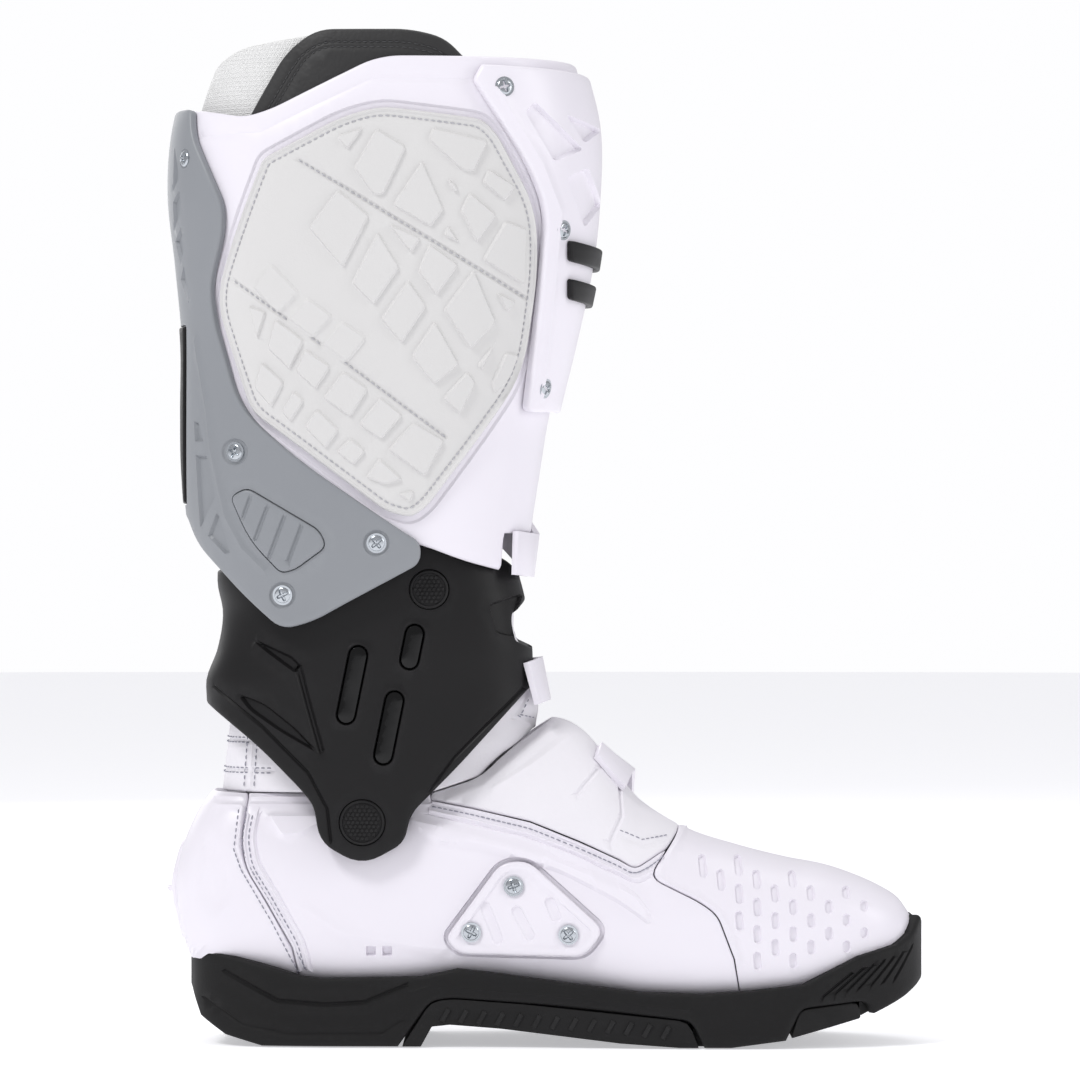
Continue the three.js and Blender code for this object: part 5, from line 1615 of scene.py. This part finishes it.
FRONT_SHOULDER = [
    (16, 95), (20, 90, 3), (25.3, 86, 3), (30, 82.5, 3), (47.8, 81, 5), (81.2, 71.5, 8),
    (106, 58.5, 5), (118, 50), (119, 55, 2), (112, 64, 3), (104, 68.5), (87.5, 75), (68, 83.5),
    (43, 90), (28, 92.8),
]
PIPING = [(28.2, 98.4), (44.3, 95.3), (68.9, 89.6), (89.4, 81.4), (105.4, 74.3), (111.5, 70.8),
          (118.5, 74.2), (124, 78.2)]
HEEL_PIPING = [(-45.6, 95), (-47.4, 85.3), (-45.6, 74), (-37.8, 61.5), (-26.5, 41.5), (-24, 31)]
SWEEP = [(-24, 57), (-8, 46), (22, 41), (34, 40)]
SQUARES = [(1.3, 37), (8.0, 37)]
shell_sides, foot_spots = [], []
for side in (-1, 1):
    loop = one_side(foot, SHELL_SIDE, side)
    relief = [Relief(one_side(foot, shoulder, side), 1.5, 1.8)
              for shoulder in (REAR_SHOULDER, FRONT_SHOULDER)]
    relief.append(Relief(lay_line(foot, SWEEP, side), 0.5, 2.2, width=5.5))
    for x, z in SQUARES:
        square = [(x, z), (x + 4.1, z), (x + 4.1, z + 4.1), (x, z + 4.1)]
        relief.append(Relief(one_side(foot, [(*p, 0.5) for p in square], side), -2.2, 0.3))
    frame_edge = SIDE_PLATE if side < 0 else OUTER_PLATE
    relief.append(Relief(one_side(foot, frame_edge, side, 1.9), -1.2, 0.6))
    for seam_line in (PIPING, HEEL_PIPING):
        line = lay(foot, fine(soft_corners([(*p, 4) for p in seam_line], closed=False), 2, False),
                   side)
        for off in (-1.8, 1.8):
            relief.append(Relief(shifted(line, off, False), 0.8, 0.6, width=1.5))
            relief.append(Relief(shifted(line, off * 1.75, False), -0.5, 0.5, width=1.0))
        foot_spots += seam_spots(foot, line, STITCH_GAP, 0.2)
    for z in (101.8, 99.0):
        line = lay_line(foot, [(-46.5, z), (-25.7, z), (27.0, z)], side)
        relief.append(Relief(line, 0.6, 0.8, width=1.7))
    shell_sides.append(panel(foot, loop, -SHELL, 0, edge=1.0, relief=relief, step=3.4))
piece("foot_shell", shell_sides, "white_plastic", "foot", ["foot_shell"])

band = [(-47.2, 97.8), (-49, 81.4, 10), (-46, 73.3, 10), (-33.5, 52, 10), (-25.5, 36.5), (-22, 30)]
HEEL_DISH = [(-66, 86, 6), (-56, 84, 5), (-53, 66, 6), (-60, 52, 6), (-70, 60, 6)]
heel_relief = []
for side in (-1, 1):
    edge_line = [(x - 2.6, z) for x, z, *_ in band]
    line = lay_line(foot, edge_line, side)
    heel_relief.append(Relief(line, 0.7, 0.8, width=1.7))
    foot_spots += seam_spots(foot, shifted(line, 1.7, False), STITCH_GAP, 0.15)
    foot_spots += seam_spots(foot, shifted(line, -1.7, False), STITCH_GAP, 0.15)
    for z in (101.8, 98.6):
        line = lay_line(foot, [(-62, z), (-50.5, z)], side)
        heel_relief.append(Relief(line, 0.6, 0.8, width=1.7))
    heel_relief.append(Relief(one_side(foot, HEEL_DISH, side), -0.6, 2.2))
HEEL_TAB = [(-9, 42, 6), (9, 42, 6), (11, 60, 12), (9, 83, 6), (-9, 83, 6), (-11, 60, 12)]
HEEL_TAB_CUTS = [[(-6, z), (0, z - 3.5), (6, z)] for z in (56, 63, 70)]
tab_relief = [Relief(fine(cut, 1.5, False), -0.7, 0.7, width=2.0) for cut in HEEL_TAB_CUTS]
piece(
    "heel_cup",
    [panel(foot, heel_loop, -SHELL, 0, edge=1.0, relief=heel_relief, step=3.2),
     panel(HeelBack(), fine(soft_corners(HEEL_TAB), 1.3), -2.4, 1.1, edge=1.0, relief=tab_relief,
           step=2.0)],
    "white_plastic", "foot", ["heel_cup"],
)

# Toe cap with its field of upright slots.

SLOT_COLUMN, SLOT_ROW = 7.4, 11.0  # how far apart the slots are
SEAM_HEIGHTS = [36.1, 54.5, 60, 70, 89.4]
SEAM_PLACES = [153, 146, 138.6, 130, 131.6]


def toe_slots():
    """Upright slots in staggered columns, shorter towards the tip."""
    loops = []
    for column, x in enumerate(np.arange(140, 216, SLOT_COLUMN)):
        for z in np.arange(30, 84, SLOT_ROW) + (column % 2) * SLOT_ROW / 2:
            top = float(sample(FOOT, x)[0, 1])
            seam_x = float(np.interp(z, SEAM_HEIGHTS, SEAM_PLACES))
            length = 9.4 - (x - 140) * 0.07
            low = float(height_of(SOLE_TOP, x)) + length / 2 + 2
            if seam_x + 6 < x < 214 and low < z < top - length / 2 - 1.5:
                loops += [capsule(foot, x, z, length, 3.4, side, lean=-0.08) for side in (-1, 1)]
    return loops


toe_relief = [Relief(loop, -1.2, 0.5) for loop in toe_slots()]
for side in (-1, 1):
    rim_line = lay_line(foot, soft_corners(
        [(x + 2.4, z, *r) for x, z, *r in TOE_SEAM[1:-1]], closed=False), side)
    toe_relief.append(Relief(rim_line, 0.5, 0.8, width=1.8))
piece(
    "toe_cap",
    [panel(foot, toe_loop, -SHELL, 0, edge=1.0, relief=toe_relief, step=3.0)],
    "white_plastic", "foot", ["toe_cap"],
)

instep_relief = []
PATCH_EDGE = [(106.5, 86.3), (116, 82.8), (127, 84.9)]
GUARD_LIP = [(36, 101), (50, 107), (60, 115), (70, 123), (79, 129.5)]
GUARD_RIDGE = [(54.5, 105.8), (69.7, 115.2), (85, 126.5)]
GUARD_CUT = [(88.1, 103.7), (97, 114)]
GUARD_EDGE = [(101.7, 84.1), (106.6, 94.7), (105.8, 106.5)]
for side in (-1, 1):
    for line, height, slope, width in (
            (PATCH_EDGE, -0.6, 0.9, 2.4), (GUARD_LIP, 0.8, 2.6, 7.0), (GUARD_RIDGE, 1.0, 2.2, 5.0),
            (GUARD_CUT, -1.0, 0.8, 2.0), (GUARD_EDGE, -1.1, 0.8, 2.2)):
        flat = lay_line(foot, line, side)
        instep_relief.append(Relief(flat, height, slope, width))
    flat = lay_line(foot, PATCH_EDGE, side)
    foot_spots += seam_spots(foot, shifted(flat, 1.9 * side, False), STITCH_GAP, 0.35)
piece(
    "instep_panel",
    [panel(foot, instep_loop, -SHELL, 0, edge=1.0, relief=instep_relief, step=3.2,
           rise=crown(0.4, 14))],
    "white_leather", "foot", ["instep_panel"],
)
copies("foot_stitches", "thread", foot_spots, STITCH, "grey_thread", "foot", uneven=0.08)

side_relief = [Relief(capsule(foot, x, z, length, 5.0, lean=lean), -0.8, 0.6)
               for x, z, length, lean in ((53.1, 51, 19, -0.38), (66.2, 50.8, 16, -0.48),
                                          (78.5, 56.5, 11, -0.38))]
side_relief += [Relief(circle(foot, place, 5.2, -1), -0.3, 0.6) for place in SIDE_SCREWS]
side_relief.append(Relief(one_side(foot, SIDE_PLATE, grow=-3.2), -0.6, 0.8))
piece(
    "inner_side_plate",
    [panel(foot, one_side(foot, SIDE_PLATE), GAP, 2.8, edge=1.0, relief=side_relief, step=2.4)],
    "white_plastic", "foot", ["inner_side_plate"],
)
piece(
    "outer_side_plate",
    [panel(foot, one_side(foot, OUTER_PLATE, 1), GAP, 2.8, edge=1.0, step=3)],
    "white_plastic", "foot", ["outer_side_plate"],
)
copies(
    "side_plate_screws", "screw", screw_spots(foot, SIDE_SCREWS, 2.6), SCREW, "steel",
    "foot", [f"side_plate_screw_{k}" for k in (1, 2, 3)],
)
bosses = [
    turned([(14.6, -8), (14.6, 3.3), (13.6, 4.1), (6, 4.1), (5.4, 3.6)],
           foot.at(lay(foot, [ANKLE], side), -1)[0], (0, side, 0)) for side in (-1, 1)
]
piece("ankle_bosses", bosses, "white_plastic", "foot")

sock = Foot(grow=-7)
sock_levels = np.linspace(sock.levels[0] + 0.05, sock.levels[-1] - 0.05, 90)
mouth = both_sides(sock, [(-60, 118), (-60, 96), (28.9, 96), (49, 102.7), (58.8, 112),
                          (70, 120.3), (78, 126), (78, 140)])
piece(
    "foot_liner",
    [panel(sock, closed_loop(sock, sock_levels, 4.0), 0.0, 3.4, edge=1.0, step=6,
           holes=[mouth], seam=partial(half_round, sock))],
    "black_fabric", "foot", ["foot_liner"], weld=0.02,
)

# ---- sole ----

wall = Wall()


def ring_loop(top, bottom):
    top = fine(soft_corners(top, closed=False), 2, False)
    bottom = fine(soft_corners(bottom, closed=False), 2, False)
    rows = [lay(wall, top, -1), lay(wall, bottom, -1), lay(wall, bottom[::-1], 1),
            lay(wall, top[::-1], 1)]
    return anticlockwise(fine(np.vstack(rows)))


HEEL_GROOVE = [(-57.3, 30.4), (-34.9, 18.7), (-15.5, 17.2), (0.8, 18.2), (18.2, 25.3)]
HEEL_UNDER_GROOVE = [(-66, 19), (-50, 8.5), (-30, 5), (8, 5.4), (15, 10)]
ARCH_LIP = [(20, 22.5), (27.4, 25), (81.2, 20.6), (134, 15.5)]
TOE_GROOVES = 7
sole_relief = []
for side in (-1, 1):
    for line, height, width in ((HEEL_GROOVE, -0.9, 2.2), (ARCH_LIP, 0.5, 1.6)):
        flat = lay_line(wall, line, side)
        sole_relief.append(Relief(flat, height, 0.8, width=width))
    sole_relief.append(Relief(lay_line(wall, HEEL_UNDER_GROOVE, side), -0.7, 0.9, width=2.0))
    for k in range(TOE_GROOVES):
        line = fine([(187.5 + 4.6 * k, 21 + 1.1 * k), (198.5 + 4.1 * k, 30.4 + 1.6 * k)], 2, False)
        sole_relief.append(Relief(lay(wall, line, side), -0.9, 0.6, width=1.5))
piece(
    "sole_wall",
    [panel(wall, ring_loop(SOLE_TOP, SOLE_BOTTOM), -6.0, 0, edge=1.6, relief=sole_relief,
           step=3.2, seam=partial(half_round, wall))],
    "black_rubber", "foot", ["outsole"], weld=0.03,
)

TREAD_INSET = 6.4
TREAD_FIELDS = ((-65, 13.6), (136, 172.4), (204.5, 224))  # heel, ball and toe


def plan_loop(start, end):
    """The sole's plan between two places, set in from its edge."""
    xs = np.arange(start, end, 3.0).tolist() + [end]
    width = np.maximum(sample(PLAN, xs)[:, 0] - TREAD_INSET, 2.0)
    shift = sample(FOOT, np.clip(xs, HEEL_END, TOE_END))[:, 3]
    near = np.stack([shift - width, xs], 1)
    far = np.stack([shift + width, xs], 1)[::-1]
    return anticlockwise(fine(np.vstack([near, far]), 2.5))


tread = []
under = Under()
for start, end in TREAD_FIELDS:
    loop = plan_loop(start, end)
    bars = []
    for x in np.arange(start + 7, end - 4, 9.5):
        for side in (-1, 1):
            y = float(sample(PLAN, x)[0, 0]) - TREAD_INSET
            if y > 12:
                bar_line = fine([(0, x + 3), (side * y * 0.5, x - 1.5), (side * (y + 4), x)], 2.5,
                                False)
                bars.append(Relief(bar_line, -2.2, 0.9, width=3.4))
    tread.append(panel(under, loop, -7.5, -0.2, edge=0.9, relief=bars, step=3.5))
piece("sole_tread", tread, "black_rubber", "foot", ["outsole"])
for node in ("arch_insert", "toe_insert"):
    softened(node, node + "_cover", "black_rubber", 0.6)

rib_spots = []
for side in (-1, 1):
    for x in np.arange(34, 128, 7.5):
        z = float(np.interp(x, [28, 106, 134], [13.4, 8.2, 5.2]))
        flat = lay(wall, [(x, z)], side)
        rib_spots.append((wall.at(flat, -0.6)[0], wall.normal(flat)[0], np.array([0.55, 0, 1.0])))
copies("arch_ribs", "block", rib_spots, (6.5, 2.2, 1.4), "black_rubber", "foot")

# ---- straps and buckles ----

for name in ("top", "shin", "ankle", "instep"):
    softened(f"{name}_strap", f"{name}_strap_cover", "white_plastic", 0.5)
    softened(f"{name}_lever", f"{name}_lever_cover", "white_plastic", 0.7)
    softened(f"{name}_receiver", f"{name}_receiver_cover", "black_plastic", 0.6)
STRAP_RAY = 0.15  # longer than the boot is deep, from its axis


def strap_middle(name, across, middle, turns):
    """Places and facings along a strap's middle line, found by rays that aim at an axis. The
    strap's width runs along the axis named by across: 0 is X, 2 is Z."""
    node = frame["nodes"][f"{name}_strap"]
    corners = [node.matrix_world @ v.co for v in node.data.vertices]
    tree = BVHTree.FromPolygons(corners, [tuple(f.vertices) for f in node.data.polygons])
    low, high = min(c[across] for c in corners), max(c[across] for c in corners)
    first, second = (0, 1) if across == 2 else (1, 2)
    found = []
    for turn in turns:
        out = Vector((0, 0, 0))
        out[first], out[second] = math.cos(turn), math.sin(turn)

        def hit(place):
            start = Vector(middle) + out * STRAP_RAY
            start[across] = place
            return tree.ray_cast(start, -out, STRAP_RAY)

        places = [place for place in np.linspace(low, high, 50) if hit(place)[0] is not None]
        if len(places) > 4:
            spot, normal, *_ = hit((places[0] + places[-1]) / 2)
            if spot is not None:
                found.append((spot / MM, normal))
    return found


STRAP_RUNS = {  # axis of the strap's width, a point on the axis it wraps, first and last turn
    "top": (2, (0.012, 0, 0), 32, 76), "shin": (2, (0.012, 0, 0), 26, 66),
    "ankle": (2, (0.012, 0, 0), 26, 62), "instep": (0, (0, 0, 0.06), 22, 62),
}
for body, names in (("calf", ("top", "shin")), ("brace", ("ankle",)), ("foot", ("instep",))):
    teeth = []
    for name in names:
        across, middle, start, end = STRAP_RUNS[name]
        row = strap_middle(name, across, middle, np.radians(np.arange(start, end, 2.6)))
        line, normals = (np.array([np.array(pair[k]) for pair in row]) for k in (0, 1))
        for _ in range(3):
            line[1:-1, across] = (line[:-2, across] + 2 * line[1:-1, across] + line[2:, across]) / 4
        way = np.gradient(line, axis=0)
        sides = np.cross(normals, way)
        teeth += list(zip(line + normals * 0.2, normals, sides))
    copies(f"{body}_strap_teeth", "block", teeth, (11.5, 1.4, 0.9), "white_plastic", body)

for shape in SHAPES.values():
    bpy.data.objects.remove(shape)

# ---- floor, light and camera ----


FLOOR_RADIUS = 7  # metres
MIDDLE = (0.07, 0, 0.2)  # of the boot, in metres


def floor():
    """A round pale floor, just under the sole."""
    mesh = bpy.data.meshes.new("floor")
    turns = np.linspace(0, 2 * math.pi, 65)[:-1]
    rim = [(FLOOR_RADIUS * math.cos(a), FLOOR_RADIUS * math.sin(a), -0.0005) for a in turns]
    mesh.from_pydata(rim, [], [tuple(range(64))])
    made = bpy.data.objects.new("floor", mesh)
    bpy.context.scene.collection.objects.link(made)
    paint = bpy.data.materials.new("floor_paint")
    paint.use_nodes = True
    shader = paint.node_tree.nodes["Principled BSDF"]
    shader.inputs["Base Color"].default_value = (0.86, 0.86, 0.87, 1)
    shader.inputs["Roughness"].default_value = 0.6
    shader.inputs["Specular IOR Level"].default_value = 0.2
    shader.inputs["Emission Color"].default_value = (0.97, 0.97, 1.0, 1)
    shader.inputs["Emission Strength"].default_value = 0.46
    mesh.materials.append(paint)


def softbox(name, place, size, power):
    """An area light that faces the boot's middle."""
    light = bpy.data.lights.new(name, "AREA")
    light.shape = "RECTANGLE"
    light.size, light.size_y = size
    light.energy = power
    made = bpy.data.objects.new(name, light)
    made.location = place
    made.rotation_euler = (Vector(MIDDLE) - Vector(place)).to_track_quat("-Z", "Y").to_euler()
    bpy.context.scene.collection.objects.link(made)


floor()
softbox("key_light", (-1.0, -1.1, 1.8), (0.5, 0.5), 21)
softbox("side_light", (1.9, -0.7, 0.9), (0.6, 1.2), 9)
softbox("top_light", (0.1, 0.5, 2.0), (1.2, 1.2), 7)
softbox("back_light", (-0.7, 1.8, 0.9), (1.2, 1.2), 7)


def studio():
    """Even light from all round, and a paler backdrop than it gives."""
    world = bpy.data.worlds.new("studio")
    world.use_nodes = True
    tree = Tree(world.node_tree)
    light = world.node_tree.nodes["Background"]
    light.inputs[0].default_value = (0.97, 0.97, 1.0, 1)
    light.inputs[1].default_value = 0.52
    backdrop = tree.node("ShaderNodeBackground", {0: (0.99, 0.99, 1.0, 1), 1: 1.0})
    seen = tree.node("ShaderNodeLightPath").outputs["Is Camera Ray"]
    mix = tree.node("ShaderNodeMixShader", {0: seen, 1: light.outputs[0], 2: backdrop.outputs[0]})
    tree.tree.links.new(mix.outputs[0], world.node_tree.nodes["World Output"].inputs[0])
    bpy.context.scene.world = world


studio()
bpy.context.scene.view_settings.view_transform = "Standard"

lens = bpy.data.cameras.new("camera")
lens.lens, lens.sensor_width = 200, 36
camera = bpy.data.objects.new("camera", lens)
camera.location = (0.0730, -2.51, 0.2083)
camera.rotation_euler = (math.pi / 2, 0, 0)
bpy.context.scene.collection.objects.link(camera)
bpy.context.scene.camera = camera
